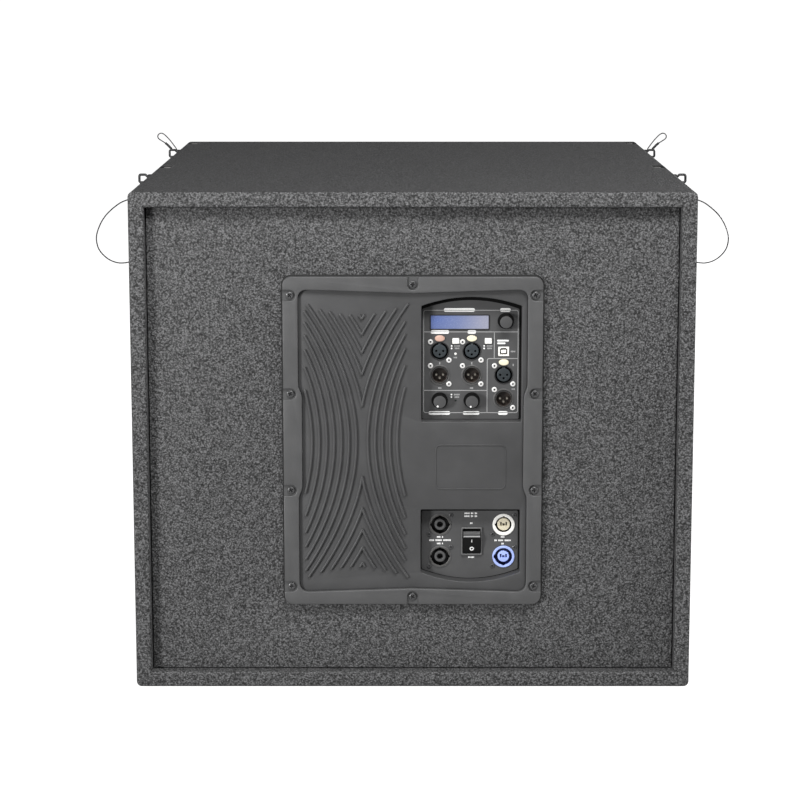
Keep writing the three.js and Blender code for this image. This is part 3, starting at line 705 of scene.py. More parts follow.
# ---- small parts that repeat ----
def cross_screw(bm, x, z, seat, radius, rise, place=from_rear, turn=0.3):
    """A pan head with a cross recess, black at its floor as painted shade; seat is the depth of the face that
    it sits on.
    """
    arm, reach = 0.17 * radius, 0.62 * radius
    quarter = [(reach, 0), (reach, arm), (arm, arm), (arm, reach), (0, reach)]
    cross = [(x + px * math.cos(turn) - pz * math.sin(turn), z + px * math.sin(turn) + pz * math.cos(turn))
             for px, pz in four_quarters(quarter)]
    slab(bm, place, circle(x, z, radius, 28), [cross], seat - rise, seat, 0.45 * rise, share=0.1)
    slab(bm, place, circle(x, z, 0.7 * radius, 20), [], seat - 0.3 * rise, seat + 0.1 * MM, index=1)


def socket_screw(bm, x, z):
    """A bright domed head on the panel, with a six-sided socket that is black at its floor as painted shade.
    """
    flat(bm, circle(x, z, 3.1, 30), [circle(x, z, 1.302, 6)], -1.3, 0, 0.65, share=0.1)
    flat(bm, circle(x, z, 2.17, 20), [], -0.26, 0.1, index=1)


def notched_circle(x, z, radius, notches, steps=72):
    """A circle with notches cut outward; each is (angle, half width, depth), angles in degrees."""
    points = []
    for i in range(steps):
        angle = 360 * i / steps
        depth = sum(d for at, half, d in notches if abs((angle - at + 180) % 360 - 180) <= half)
        points.append((x + (radius + depth) * math.cos(math.radians(angle)),
                       z + (radius + depth) * math.sin(math.radians(angle))))
    return points


def ring_about(bm, x, z, outer, inner, front, back, rounding=0.4, index=0):
    """A ring between two radii; depths are from the panel's face."""
    flat(bm, circle(x, z, outer, 48), [circle(x, z, inner, 48)], front, back, rounding, index=index)


def disc_about(bm, x, z, radius, front, back, holes=(), rounding=0.3, index=0):
    flat(bm, circle(x, z, radius), holes, front, back, rounding, index=index, share=0.2)


def turned_about(bm, x, z, profile, segments, **more):
    """A turned piece; profile lists (radius, depth from the panel's face), in millimetres."""
    steps = [(radius * MM, PANEL_FACE + depth * MM) for radius, depth in profile]
    spun(bm, from_rear, *on_plate(x, z), steps, segments, **more)


# ---- amplifier plate: places and sizes in millimetres from its centre ----
PLATE_HALF_W, PLATE_HALF_H, PLATE_CORNER = 150, 194, 10
SCREW_X, SCREW_HEIGHTS, SCREW_Z = 141.5, (57.1, 172.4), 185
SCREW_POCKET_RADIUS, SCREW_POCKET_DEPTH = 6.3, 3
RIB_CENTRE, RIB_LEFT, RIB_RIGHT = -59, -125, -9.5
RIB_HALF, RIB_BEND, RIB_HEIGHT = 1.35, 462, 3
RIB_FIRST, RIB_PITCH = 6.5, 8.6
RIB_COUNTS = ((-1, 7), (1, 5))
V_OFFSETS = (3.8, 13.6, 23.8, 34.5, 45.4)
LABEL = (67.4, -30.2, 41.1, 26.8)
LABEL_CORNER, LABEL_LINE = 6.5, 1.3


def plate_outline():
    """Rounded, with a pocket open to the edge at each screw."""
    r = SCREW_POCKET_RADIUS
    quarter = [(PLATE_HALF_W, 0)]
    for z in SCREW_HEIGHTS:
        quarter.append((PLATE_HALF_W, z - r))
        quarter += arc(SCREW_X, z, r, 1.5 * math.pi, 0.5 * math.pi, 12)
        quarter.append((PLATE_HALF_W, z + r))
    quarter += arc(PLATE_HALF_W - PLATE_CORNER, PLATE_HALF_H - PLATE_CORNER, PLATE_CORNER, 0, math.pi / 2, 6)
    quarter.append((r, PLATE_HALF_H))
    quarter += arc(0, SCREW_Z, r, 0, -math.pi / 2, 8)
    return four_quarters(quarter)


def field_outline():
    """The sunk field: its ends dip at the middle and its sides step in round the side screws."""
    side, waist, corner, end, dip = 132.5, 128.3, 12, 179.3, 175
    quarter = [(waist, 0), *bezier((waist, 50), (waist, 60), (side, 60), (side, 70))]
    quarter += bezier((side, end - corner), (side, end), (side - corner, end - 0.4))
    quarter.append((0, dip))
    return four_quarters(quarter)


def bowed(x0, x1, level, far, sag, grow=0.0):
    """A pocket's outline: straight sides, and one long edge bowed out by sag."""
    way = math.copysign(grow, sag)
    x0, x1, level, far = x0 - grow, x1 + grow, level - way, far + way
    edge = bezier((x1, far), ((x0 + x1) / 2, far + 2 * sag), (x0, far), steps=24)
    return fillet([(x0, level), (x1, level), *edge], 2.0 + grow)


def control_pocket(grow=0.0):
    return bowed(10, 126, 23.5, 159.5, 10.5, grow)


def power_pocket(grow=0.0):
    return bowed(9.3, 125.4, -81.1, -156.4, -11.6, grow)


def rib_outline(place, z0, z1, steps):
    """A rib about the centre line x = place(z), from height z0 to z1, with round ends."""
    def edge(z, angle):
        angle -= math.atan(place(z + 0.5) - place(z - 0.5))
        return place(z) + RIB_HALF * math.cos(angle), z + RIB_HALF * math.sin(angle)

    def end(z, start):
        return [edge(z, start + math.pi * i / 8) for i in range(9)]

    heights = [z0 + (z1 - z0) * i / steps for i in range(1, steps)]
    return [*end(z0, -math.pi), *(edge(z, 0) for z in heights),
            *end(z1, 0), *(edge(z, math.pi) for z in reversed(heights))]


def rib_outlines():
    """Bowed ribs on both sides of the middle, and nested V ribs between their ends."""
    def top(x):
        return 148.4 + 0.00384 * (x + 64.9) ** 2

    outlines = []
    for side, count in RIB_COUNTS:
        for k in range(count):
            def place(z, centre=RIB_CENTRE + side * (RIB_FIRST + RIB_PITCH * k), side=side):
                return centre + side * z * z / RIB_BEND

            end = 0.0
            while end < top(place(end)) and RIB_LEFT < place(end) < RIB_RIGHT:
                end += 0.5
            outlines.append(rib_outline(place, -end, end, 24))
    for offset in V_OFFSETS:
        for side in (-1, 1):
            def place(z, side=side, offset=offset):
                return RIB_CENTRE + side * (z * z / RIB_BEND - offset)

            apex = math.sqrt(RIB_BEND * offset)
            end = apex + 1
            while end < top(place(end)):
                end += 0.5
            half = rib_outline(place, apex, end, 10)
            outlines += [half, [(x, -z) for x, z in half]]
    return outlines


def amp_plate():
    floor = FLANGE + SCREW_POCKET_DEPTH * MM
    field = field_outline()
    bm = bmesh.new()
    flat(bm, plate_outline(), [field], 0, SCREW_POCKET_DEPTH, 1.1, base=FLANGE)
    slab(bm, from_rear, about(centred(0, 0, PLATE_HALF_W, PLATE_HALF_H, PLATE_CORNER)), [about(field)],
         floor, REAR_FACE)
    flat(bm, field, [control_pocket(), power_pocket()], 0, 5, 0.9, base=FIELD, index=1)
    for pocket in (control_pocket, power_pocket):
        slab(bm, from_rear, about(pocket(2.2)), [about(pocket())], FIELD + 5 * MM, PANEL_FACE + 4 * MM,
             index=1)
    for outline in rib_outlines():
        flat(bm, outline, [], -RIB_HEIGHT, 0.5, 1.0, base=FIELD, index=1)
    x, z, half_w, half_h = LABEL
    frame_line = [centred(x, z, half_w - i, half_h - i, LABEL_CORNER - i) for i in (0, LABEL_LINE)]
    flat(bm, frame_line[0], frame_line[1:], -0.8, 0.2, 0.4, base=FIELD, index=1)
    add_object("plate_casting", bm, [PLATE, FIELD_PAINT], node="amp_plate")
    bm = bmesh.new()
    places = [(sx * SCREW_X, sz * height) for sx in (-1, 1) for sz in (-1, 1) for height in SCREW_HEIGHTS]
    for i, (x, z) in enumerate([*places, (0, SCREW_Z), (0, -SCREW_Z)]):
        cross_screw(bm, *on_plate(x, z), floor, 4.3 * MM, 2.2 * MM, turn=0.5 + 1.1 * i)
    add_object("plate_screws", bm, [SCREW_BLACK, BLACK])


# ---- control panel ----
FEMALE = ((31.4, 104.2), (68.7, 104.2), (105.9, 76))
MALE = ((31.4, 76), (68.7, 76), (105.9, 47.8))
LATCH_RISE = 15.1
BUTTONS = ((50, 116.4), (87.7, 116.4))
GAIN_KNOBS = ((31.4, 46.3), (68.7, 46.3))
GAIN_POINTERS = (25, 14)                  # degrees left of straight down
MENU_KNOB = (107.8, 140.2)
USB = (105.6, 103.9)
PINS = ((-4, 0), (4, 0), (0, -4))
PANEL_THICK = 2


def ink(bm, outline, holes=(), index=0):
    """A printed shape, which stands a little proud of the panel."""
    flat(bm, outline, holes, -0.12, 0.3, index=index)


def bar(bm, x, z, width, height, radius=0.0, index=0):
    ink(bm, centred(x, z, width / 2, height / 2, radius, 3), index=index)


def caption(bm, x, z, words, size=1.9, index=1):
    """A row of plain blocks centred on x, in place of a line of print; words lists their lengths."""
    step, gap = 0.72 * size, 0.7 * size
    left = x - (sum(words) * step + gap * (len(words) - 1)) / 2
    for n in words:
        for i in range(n):
            height = size * (0.8 + 0.2 * ((i * 7 + n) % 3) / 2)
            bar(bm, left + (i + 0.4) * step, z, 0.74 * step, height, index=index)
        left += n * step + gap


def control_print():
    """The frame with its rules, white tags on them, and plain bars and dots in place of the words."""
    bm = bmesh.new()
    x0, x1, z0, z1, line = 12.3, 122.7, 31, 152.7, 0.8
    ink(bm, rounded(x0, x1, z0, z1, 3), [rounded(x0 + line, x1 - line, z0 + line, z1 - line, 2.2)], index=1)
    bar(bm, (x0 + x1) / 2, 126.9, x1 - x0 - line, line, index=1)
    bar(bm, (x0 + 86.6) / 2, 57.8, 86.6 - x0, line, index=1)
    bar(bm, 94.7, (126.9 + 95.5) / 2, line, 126.9 - 95.5, index=1)
    corner = [(x1, 95.5 + line / 2), *arc(88.7, 93.4, 2.1 + line / 2, math.pi / 2, math.pi, 5), (86.2, z0)]
    inner = [(87, z0), *arc(88.7, 93.4, 2.1 - line / 2, math.pi, math.pi / 2, 5), (x1, 95.5 - line / 2)]
    ink(bm, corner + inner, index=1)
    for x, z, width in ((54, z1, 36), (107.3, z1, 12.3), (31.5, 126.9, 21.3), (68.5, 126.9, 9.9),
                        (31.2, z0, 25), (68.2, z0, 19.5), (105.1, z0, 11.3)):
        bar(bm, x, z, width, 4.3, 1.9)
    lines = [(x - 4.8, x + 1.6, z + row, long) for x, z in BUTTONS for row, long in ((-6, 5), (-8.9, 4))]
    for dot, x, z, long in (*lines, (45.1, 51.5, 52.8, 5), (45.1, 51.5, 49.9, 4)):
        bar(bm, dot, z, 1.9, 1.9, 0.9)
        caption(bm, x, z, [long])
    for x, z, long in ((49.6, 96.7, 3), (116.6, 103.8, 4), (31.6, 60.6, 3), (68.6, 60.6, 3),
                       (117.2, 59.4, 3)):
        caption(bm, x, z, [long])
    for x, z in ((31.4, 89.9), (68.6, 89.9), (116.8, 87.9)):
        bar(bm, x, z, 1.3, 2.6, index=1)
    bar(bm, 104.8, 116.6, 13.5, 2.2, 0.8)
    bar(bm, 102.9, 113.5, 9.5, 2.0, 0.8)
    add_object("control_print", bm, [PRINT, PALE_PRINT])


def panel_sheet(name, node, outline, openings, inner):
    """A panel's sheet, with a black strip from its edge to the inner outline: a painted shadow under the
    pocket's edges.
    """
    bm = bmesh.new()
    # The black strip between the outline and the inner outline is painted shadow, widest below the pocket's
    # top edge.
    flat(bm, outline, [inner], -0.15, 0.5, index=1)
    flat(bm, outline, openings, 0, PANEL_THICK, 0.25, steps=1, share=0)
    add_object(name, bm, [SHEET, MATT_BLACK], node=node)


def control_sheet():
    openings = [circle(x, z, 11.15) for x, z in FEMALE]
    openings += [oval(x, z + LATCH_RISE, 6, 3.75) for x, z in FEMALE]
    openings += [circle(x, z, 12) for x, z in MALE]
    openings += [centred(x, z, 4.4, 3.5, 0.8) for x, z in BUTTONS]
    openings += [circle(x, z, 3.6, 20) for x, z in (*GAIN_KNOBS, MENU_KNOB)]
    openings += [centred(*USB, 6.7, 5.9, 0.6), circle(50, 45.7, 1.0, 16)]
    panel_sheet("control_sheet", "control_panel", control_pocket(-0.3), openings,
                bowed(10.9, 123.6, 23.9, 153.9, 10.3))


def display_window():
    lo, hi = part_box("display")
    bm = bmesh.new()
    slab(bm, from_rear, rounded(lo.x, hi.x, lo.z, hi.z, 0.6 * MM), [], lo.y + 0.4 * MM, hi.y, 0.2 * MM)
    add_object("display_glass", bm, GLASS, node="display")
    bm = bmesh.new()
    # A thin black rim round the glass: painted shadow of the window's recessed edges.
    rim, lap = 1.0 * MM, 0.1 * MM
    slab(bm, from_rear, rounded(lo.x - rim, hi.x + rim, lo.z - rim, hi.z + rim, 1.4 * MM),
         [rect(lo.x + lap, hi.x - lap, lo.z + lap, hi.z - lap)], lo.y, PANEL_FACE + 0.2 * MM, 0.3 * MM)
    add_object("display_shadow_rim", bm, BLACK)


def line_sockets():
    for i, (x, z) in enumerate(FEMALE, 1):
        bm = bmesh.new()
        ring_about(bm, x, z, 11.1, 9.8, -0.4, 14)
        disc_about(bm, x, z, 11.1, 14, 17)
        bores = [circle(x + dx, z + dz, 1.35, 16) for dx, dz in PINS]
        disc_about(bm, x, z, 7.9, 0.6, 13.9, bores, 0.5, index=1)
        flat(bm, rect(x - 1.6, x + 1.6, z + 7.6, z + 9.9), [], 1, 13.9, index=1)
        add_object(f"line_socket_{i}", bm, [BLACK, INSERT], node=f"xlr_female_{i}")
        bm = bmesh.new()
        flat(bm, oval(x, z + LATCH_RISE, 5.8, 3.6), [], -2.2, 8, 0.9)
        add_object(f"push_tab_{i}", bm, BRONZE if i == 1 else CREAM, f"latch_{i}",
                   f"xlr_latch_{i}")
    pin = [(0, 1), (0.9, 1.2), (1.25, 1.8), (1.25, 13), (0, 13)]
    for i, (x, z) in enumerate(MALE, 1):
        bm = bmesh.new()
        ring_about(bm, x, z, 11.6, 10.3, -1.2, 13)
        ring_about(bm, x, z, 10.3, 9.4, -0.4, 13, 0.2, index=1)
        ring_about(bm, x, z, 9.4, 8.95, -0.9, 13, 0.1)
        disc_about(bm, x, z, 11.6, 9, 16, index=2)
        for dx, dz in PINS:
            turned_about(bm, x + dx, z + dz, pin, 16, index=3)
        ring_about(bm, x, z, 8.95, 8.5, 0.3, 13, 0.1, index=2)
        # A pale ring round the rim: painted highlight of its edge.
        ring_about(bm, x, z, 12.2, 11.6, -0.3, 0, 0.1, index=4)
        add_object(f"line_plug_{i}", bm, [COLLAR, BLACK, BORE, PIN_METAL, PALE_RIM_AND_HIGHLIGHT],
                   node=f"xlr_male_{i}")
    bm = bmesh.new()
    for x, z in (*FEMALE, *MALE):
        for dx, dz in ((-10.8, 11), (10.7, -10.5)):
            socket_screw(bm, x + dx, z + dz)
    add_object("socket_screws", bm, [BRIGHT, BLACK])


def knob(name, node, body, x, z, tip, profile, pointer=None):
    """A knob with a knurled skirt and a flat cap; profile lists (radius, depth from the panel's face)."""
    face = profile[0][1]
    bm = bmesh.new()
    turned_about(bm, x, z, profile, 96, flutes=32, share=0.012)
    disc_about(bm, x, z, tip, face - 0.35, face + 0.3, index=1)
    if pointer is not None:
        angle = math.radians(pointer)
        dot = circle(x - 5.7 * math.sin(angle), z - 5.7 * math.cos(angle), 1.15, 20)
        flat(bm, dot, [], face - 0.55, face, 0.15, index=2)
    add_object(name, bm, [MATT_BLACK, KNOB, PRINT], body, node)


def knobs():
    skirt = [(0, -11.65), (7.7, -11.65), (8.0, -11.3), (9.5, -1.4), (9.2, -1), (3, -1), (3, 8), (0, 8)]
    for i, ((x, z), pointer) in enumerate(zip(GAIN_KNOBS, GAIN_POINTERS), 1):
        knob(f"gain_dial_{i}", f"gain_knob_{i}", f"gain_{i}", x, z, 7.2, skirt, pointer)
    skirt = [(0, -12.65), (7.4, -12.65), (7.7, -12.3), (9.5, -2.4), (9.2, -2), (3.05, -2), (3.05, -9.3),
             (0, -9.3)]
    knob("menu_dial", "menu_knob", "menu_dial", *MENU_KNOB, 7.1, skirt)


def buttons_and_port():
    for i, (x, z) in enumerate(BUTTONS, 1):
        bm = bmesh.new()
        flat(bm, centred(x, z, 4.1, 3.15, 0.6), [], -2.8, 8, 0.6)
        add_object(f"button_cap_{i}", bm, WHITE, f"button_{i}", f"push_button_{i}")
    x, z = USB
    mouth = [(x - 4.3, z - 4), (x + 4.3, z - 4), (x + 4.3, z + 2.2), (x + 2.5, z + 4), (x - 2.5, z + 4),
             (x - 4.3, z + 2.2)]
    bm = bmesh.new()
    flat(bm, centred(x, z, 6.3, 5.5, 0.5), [fillet(mouth, 0.3)], -0.8, 9, 0.4)
    flat(bm, centred(x, z, 6.3, 5.5), [], 9, 14, index=1)
    flat(bm, rounded(x - 2.9, x + 2.9, z - 2, z + 1.6, 0.3), [], 0, 9.1, 0.3)
    add_object("computer_port", bm, [WHITE, BLACK], node="usb_port")
    bm = bmesh.new()
    lamp = [(0, -0.9), (0.9, -0.7), (1.5, 0), (1.5, PANEL_THICK), (0, PANEL_THICK)]
    turned_about(bm, 49.8, 101, lamp, 24)
    add_object("signal_lamp", bm, WHITE)


# ---- power panel ----
SPEAKER = ((32.2, -102.8), (32.2, -141.4))
MAINS = {"out": (106.9, -102.8), "in": (106.9, -141.4)}
SWITCH = (69.4, -122.5)
SPEAKER_KEYS = ((180, 9, 1.2), (0, 9, 1.2), (90, 5, 0.7), (270, 5, 0.7))
MAINS_KEYS = {"out": ((180, 9, 1.0), (90, 6, 0.8)), "in": ((180, 11, 1.3), (270, 6, 0.8))}


def power_sheet():
    openings = [circle(x, z, 12.6) for x, z in (*SPEAKER, *MAINS.values())]
    openings.append(centred(*SWITCH, 11.7, 16.2))
    panel_sheet("power_sheet", "power_panel", power_pocket(-0.3), openings,
                bowed(10.4, 123.6, -86, -156, -11.5))


def power_print():
    bm = bmesh.new()
    for x, z, words in ((68.4, -89.2, [4, 2, 2]), (68.4, -92.7, [4, 2, 2]), (69, -101.1, [2]),
                        (69, -142.2, [5]), (32.2, -117.7, [3, 1]), (32.2, -121.7, [4, 5, 6]),
                        (32.2, -125.7, [3, 1]), (106, -117.7, [3]), (106, -121.9, [2, 4, 5]),
                        (106, -125.9, [2])):
        caption(bm, x, z, words, 2.1, index=0)
    add_object("power_print", bm, [PRINT])


def speaker_socket(i, x, z):
    bm = bmesh.new()
    flat(bm, circle(x, z, 12.4, 72), [notched_circle(x, z, 10.4, SPEAKER_KEYS)], -1.4, 0, 0.5)
    # A pale ring round the flange: painted highlight of its edge.
    ring_about(bm, x, z, 13.1, 12.3, -0.9, 0, 0.2, index=3)
    ring_about(bm, x, z, 12.2, 11.8, 0, 14, 0, index=1)
    disc_about(bm, x, z, 12.2, 11, 15, rounding=0, index=1)
    ring_about(bm, x, z, 6.55, 3.6, -0.6, 11, 0.5, index=2)
    add_object(f"speaker_socket_{i}", bm, [COLLAR, BLACK, RIM_GREY, PALE_RIM_AND_HIGHLIGHT],
               node=f"speaker_outlet_{i}")


def mains_socket(name, x, z, inner, core, colours, slot):
    bm = bmesh.new()
    flat(bm, circle(x, z, 13.1, 72), [notched_circle(x, z, inner, MAINS_KEYS[name])], -1.4, 1, 0.6)
    ring_about(bm, x, z, 12.2, 11.5, 1, 14, 0, index=2)
    disc_about(bm, x, z, 12.2, 8, 15, rounding=0, index=2)
    slits = [rect(x - 4.1, x - 2.2, z - 1.7, z + 2.9), rect(x - 1.4, x + 1.4, z - 1.6, z + 1.2),
             rect(x + 2.2, x + 4.1, z - 1.7, z + 2.9)]
    disc_about(bm, x, z, core, 0.4, 8, slits, 0.8, index=1)
    add_object(f"mains_socket_{name}", bm, colours, node=f"mains_{name}")


def power_sockets():
    for i, (x, z) in enumerate(SPEAKER, 1):
        speaker_socket(i, x, z)
    mains_socket("out", *MAINS["out"], 9.3, 7.45, [WHITE, IVORY, BLACK], "white_plastic")
    mains_socket("in", *MAINS["in"], 10.2, 6.8, [BLUE, BLUE, DEEP_BLUE], "blue_plastic")
    bm = bmesh.new()
    for x, z in (*SPEAKER, *MAINS.values()):
        for dx, dz in ((12.8, 11.4), (-12.8, -11.4)):
            cross_screw(bm, *on_plate(x + dx, z + dz), PANEL_FACE, 2.5 * MM, 1.1 * MM, turn=z + dx)
    add_object("power_screws", bm, [SCREW_BLACK, BLACK])


def power_switch():
    x, z = SWITCH
    bm = bmesh.new()
    window, well = centred(x, z, 10.6, 14.9, 0.8), centred(x, z, 11.4, 15.9)
    flat(bm, centred(x, z, 12.2, 16.7, 1.4), [window], -2.5, 0, 0.7)
    flat(bm, well, [window], 0, 16, index=1)
    flat(bm, well, [], 16, 18, index=1)
    add_object("switch_bezel", bm, [PALE_RIM_AND_HIGHLIGHT, MATT_BLACK], node="switch_frame")

    cx, cz = on_plate(x, z)
    foot, ridge = (-3.1, -13.8), (-7.5, 5.5)
    profile = fillet([foot, ridge, (-3.5, 12.6), (3, 12.6), (9, 6), (9, -6), (3, -13.8)], 0.5, 3)
    half = 10.2 * MM
    raised = -0.15 * MM, 0.3 * MM
    bm = bmesh.new()
    slab(bm, lambda u, v, depth: Vector((cx + depth, PANEL_FACE + u * MM, cz + v * MM)), profile, [],
         -half, half)

    def on_face(start, end):
        """u along X and v up a face of the rocker, between two of its corners, in millimetres."""
        corner = Vector((cx, PANEL_FACE + start[0] * MM, cz + start[1] * MM))
        up = Vector((0, end[0] - start[0], end[1] - start[1])).normalized()
        out = Vector((0, -up.z, up.y))
        return lambda u, v, depth: corner + Vector((u * MM, 0, 0)) + up * v * MM - out * depth

    lower = on_face(foot, ridge)
    slab(bm, lower, circle(0, 5.6, 2.5, 28), [circle(0, 5.6, 1.3, 28)], *raised, index=1)
    slab(bm, lower, rect(-0.45, 0.45, 14, 17.4), [], *raised, index=1)
    upper = on_face(ridge, (-3.5, 12.6))
    # Raised stripes on the upper face: their grey is a painted highlight where that face turns up to the
    # light, and the pale first one is a painted highlight of the ridge's edge.
    for k in range(4):
        slab(bm, upper, rect(-9.6, 9.6, 0.9 + 1.8 * k, 1.9 + 1.8 * k), [], -0.35 * MM, 0.3 * MM,
             index=2 if k else 3)
    add_object("rocker_cap", bm, [ROCKER, PRINT, RIM_GREY, PALE_PRINT], "switch_rocker",
               "rocker")


# ---- rigging pins ----
PIN_DROP = 15
# A lock pin's shaft, collar and body: (radius, outward from the side face), in millimetres.
PIN_STEPS = ((0, -17.6), (3.3, -17.6), (4, -16.9), (4, 0.6), (7.4, 0.6), (8, 1.2), (8, 3.4), (7.4, 4),
             (5.5, 4), (5.5, 11.2), (4.7, 12), (0, 12))


def lock_pins():
    profile = [(radius * MM, -RIGHT - out * MM) for radius, out in PIN_STEPS]
    bail = fillet([(10, 0), (15, 4.9), (22.9, 4.9), (22.9, -4.9), (15, -4.9)], 2.4, 5)
    for station in STATIONS:
        for name, side in SIDES:
            y = middle(f"rail_{station}_{name}").y
            z = TOP - PIN_DROP * MM
            bm = bmesh.new()
            spun(bm, from_side(side), y, z, profile, 32)
            ring = [Vector((side * (RIGHT + out * MM), y, z + up * MM)) for out, up in bail]
            tube(bm, ring, 1.6 * MM, 10, closed=True)
            add_object(f"pull_pin_{station}_{name}", bm, BLACK_STEEL, f"pin_{station}_{name}",
                       f"lock_pin_{station}_{name}")


# ---- front grille, handles and driver ----
def perforated(bm, place, x0, x1, z0, z1, pitch, hole, front, back):
    """A sheet of staggered holes between two depths; returns the outline of its perforated part."""
    row, half = pitch * math.sqrt(3) / 2, pitch / 2
    columns = int((x1 - x0) / pitch) - 1
    rows = int((z1 - z0) / row)
    left = (x0 + x1 - (columns + 0.5) * pitch) / 2
    foot = (z0 + z1 - rows * row) / 2
    made = {}

    def vert(u, v, depth):
        key = (round(u * 1e6), round(v * 1e6), depth)
        if key not in made:
            made[key] = bm.verts.new(place(u, v, depth))
        return made[key]

    for r in range(rows):
        low_edge, high_edge = foot + r * row, foot + (r + 1) * row
        shift = half * (r % 2)
        blank = left + columns * pitch if not shift else left
        for depth in (front, back):
            bm.faces.new([vert(u, v, depth) for u, v in rect(blank, blank + half, low_edge, high_edge)])
        for c in range(columns):
            x = left + shift + (c + 0.5) * pitch
            rim = [(x + dx * half, low_edge) for dx in (-1, 0, 1)]
            rim += [(x + dx * half, high_edge) for dx in (1, 0, -1)]
            inner = arc(x, (low_edge + high_edge) / 2, hole, math.radians(210), math.radians(510), 5)
            for i in range(6):
                j = (i + 1) % 6
                for depth in (front, back):
                    bm.faces.new([vert(*p, depth) for p in (rim[i], rim[j], inner[j], inner[i])])
                bm.faces.new([vert(*inner[i], front), vert(*inner[j], front), vert(*inner[j], back),
                              vert(*inner[i], back)])
    right, head = left + (columns + 0.5) * pitch, foot + rows * row
    steps_x = 2 * columns + 1
    return [*((left + i * half, foot) for i in range(steps_x)),
            *((right, foot + r * row) for r in range(rows)),
            *((right - i * half, head) for i in range(steps_x)),
            *((left, head - r * row) for r in range(rows))]


def grille():
    lo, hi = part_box("front_grille")
    front, sheet_back = -hi.y, -hi.y + 1.5 * MM
    margin, flange = 13 * MM, 7 * MM
    bm = bmesh.new()
    edge = perforated(bm, from_front, lo.x + margin, hi.x - margin, lo.z + margin, hi.z - margin, 10 * MM,
                      3.9 * MM, front, sheet_back)
    outline = rounded(lo.x, hi.x, lo.z, hi.z, 3 * MM)
    slab(bm, from_front, outline, [edge], front, sheet_back, steps=1)
    wall = 1.5 * MM
    inner = rounded(lo.x + wall, hi.x - wall, lo.z + wall, hi.z - wall, 2 * MM)
    slab(bm, from_front, outline, [inner], sheet_back, -lo.y)
    bmesh.ops.remove_doubles(bm, verts=bm.verts, dist=1e-6)
    add_object("grille_mesh", bm, GRILLE, node="front_grille")
    bm = bmesh.new()
    for x in (lo.x + flange, 0, hi.x - flange):
        for z in (lo.z + flange, hi.z - flange):
            cross_screw(bm, x, z, front, 4.2 * MM, 1.8 * MM, from_front, turn=x + z)
    add_object("grille_screws", bm, [SCREW_BLACK, BLACK])


def handles():
    """A cup sunk in each side, with a bar across it."""
    for name, side in SIDES:
        lo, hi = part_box(f"handle_{name}")
        y, z = (lo.y + hi.y) / 2, (lo.z + hi.z) / 2
        place = from_side(side)
        flange_back, cup_back, cup_end = (-RIGHT + depth * MM for depth in (2.7, 64.5, 67))
        mouth = centred(y, z, 80 * MM, 46 * MM, 12 * MM)
        cup = centred(y, z, 82.5 * MM, 48.5 * MM, 14 * MM)
        bm = bmesh.new()
        slab(bm, place, rounded(lo.y, hi.y, lo.z, hi.z, 12 * MM), [mouth], -RIGHT, flange_back, 1.2 * MM)
        slab(bm, place, cup, [mouth], flange_back, cup_back)
        slab(bm, place, cup, [], cup_back, cup_end)
        grip = [Vector((side * (RIGHT - 16 * MM), y + along * MM, z + 14 * MM))
                for along in range(-81, 82, 9)]
        tube(bm, grip, 9.8 * MM, 28)
        add_object(f"grip_cup_{name}", bm, BLACK, node=f"handle_{name}")
        bm = bmesh.new()
        for u in (-87, 0, 87):
            for v in (-53, 53):
                cross_screw(bm, y + u * MM, z + v * MM, -RIGHT, 3.6 * MM, 1.6 * MM, place, turn=u + v)
        add_object(f"grip_screws_{name}", bm, [SCREW_BLACK, BLACK])


def driver():
    """The woofer's turned parts; profiles list (radius, y) in millimetres."""
    centre = middle("woofer_cone").z

    def lathe(name, node, body, material, profile):
        bm = bmesh.new()
        spun(bm, from_rear, 0, centre, [(radius * MM, y * MM) for radius, y in profile], 96)
        add_object(name, bm, material, body, node)

    lathe("magnet_stack", "woofer_magnet", "root", FERRITE, [
        (0, 112), (105, 112), (110, 116), (110, 128), (104, 129), (104, 165), (110, 166), (110, 178),
        (106, 182), (54, 182), (54, 140), (46, 140), (46, 182), (0, 182)])
    lathe("cone_and_coil", "woofer_cone", "cone", PAPER, [
        (0, 232), (14, 231.2), (26, 229), (38, 224.6), (46, 220), (90, 237.5), (140, 263), (182, 299),
        (182, 296.4), (140, 260.6), (90, 235), (51, 213), (51, 160), (49, 160), (49, 213), (44, 217),
        (25, 226), (0, 229)])
    roll = [*arc(193, 298, 9.8, 0, math.pi, 12), *arc(193, 298, 8.4, math.pi, 0, 12)]
    lathe("half_roll_surround", "woofer_surround", "root", RUBBER, [*roll, roll[0]])
    waves = [(52 + i * 1.5, 197 - 2.5 * math.cos(math.pi * i / 6)) for i in range(37)]
    back = [(radius, y - 1.2) for radius, y in reversed(waves)]
    lathe("corrugated_spider", "woofer_spider", "root", RUBBER, [*waves, *back, waves[0]])


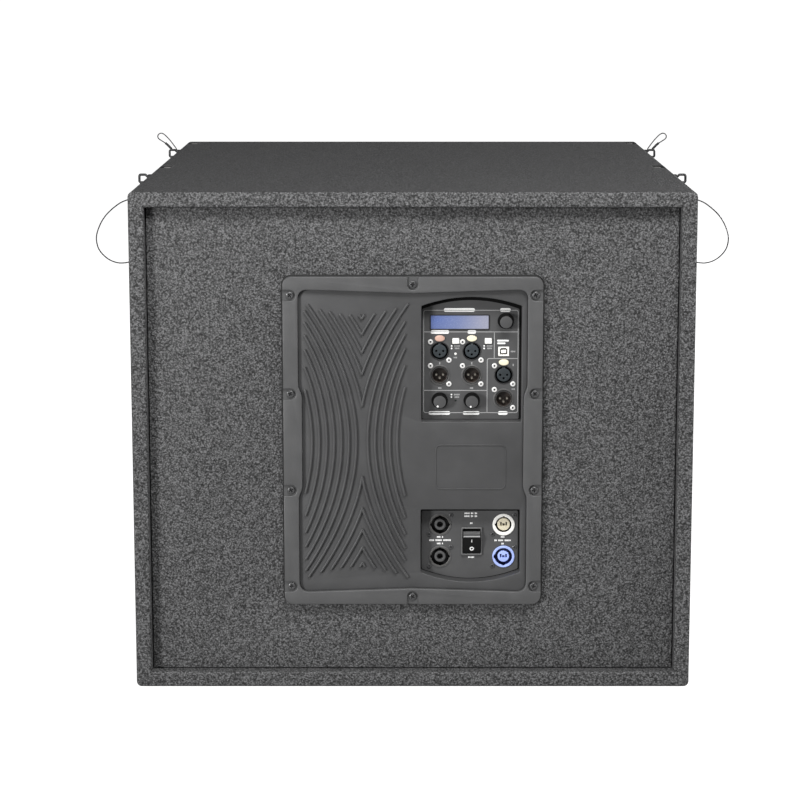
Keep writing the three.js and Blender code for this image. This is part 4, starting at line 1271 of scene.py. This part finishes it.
for make in (cabinet, rear_board, dress_cad_nodes, amp_plate, control_sheet, control_print, display_window,
             line_sockets, knobs, buttons_and_port, power_sheet, power_print, power_sockets, power_switch,
             lock_pins, grille, handles, driver):
    make()


# ---- floor, world and lights ----
def floor():
    half = 40
    bm = bmesh.new()
    bm.faces.new([bm.verts.new((x, y, -0.5 * MM)) for x, y in rect(-half, half, -half, half)])
    obj = linked("floor", bm)
    n = Nodes("pale_floor").set(rough=0.9, specular=0.1)
    n.feed("Base Color", n.ramp(n.noise(3, 2), [(0.3, (0.32, 0.32, 0.32)), (0.7, (0.35, 0.35, 0.35))]))
    n.shader.inputs["Emission Color"].default_value = (1, 1, 1, 1)
    to_camera = n.add("ShaderNodeLightPath").outputs["Is Camera Ray"]
    n.feed("Emission Strength", n.span(to_camera, 0, 0.96))
    obj.data.materials.append(n.material)


def area_light(name, place, aim, size, power):
    data = bpy.data.lights.new(name, "AREA")
    data.shape = "RECTANGLE"
    data.size, data.size_y = size
    data.energy = power
    light = bpy.data.objects.new(name, data)
    light.location = place
    light.rotation_euler = (Vector(aim) - Vector(place)).to_track_quat("-Z", "Y").to_euler()
    scene.collection.objects.link(light)


def studio():
    """A white room that lights the object less than it shows, so that the key light shapes the object."""
    world = bpy.data.worlds.new("studio")
    scene.world = world
    world.use_nodes = True
    tree = world.node_tree
    path = tree.nodes.new("ShaderNodeLightPath")
    strength = tree.nodes.new("ShaderNodeMapRange")
    strength.inputs["To Min"].default_value = 0.25
    strength.inputs["To Max"].default_value = 1.1
    background = tree.nodes["Background"]
    background.inputs["Color"].default_value = (1, 1, 1, 1)
    tree.links.new(path.outputs["Is Camera Ray"], strength.inputs["Value"])
    tree.links.new(strength.outputs["Result"], background.inputs["Strength"])
    area_light("key", (-2.6, -3.0, 0.8), (0, -0.3, 0.3), (0.8, 0.8), 105)
    area_light("overhead", (0.2, -1.3, 1.75), (0, -0.3, 0.4), (1.2, 0.5), 31)
    area_light("side_fill", (3.2, -0.4, 1.0), (0, 0, 0.3), (1.2, 1.2), 60)
    area_light("front_fill", (2.2, 3.0, 0.8), (0, 0, 0.3), (1.2, 1.2), 60)


floor()
studio()
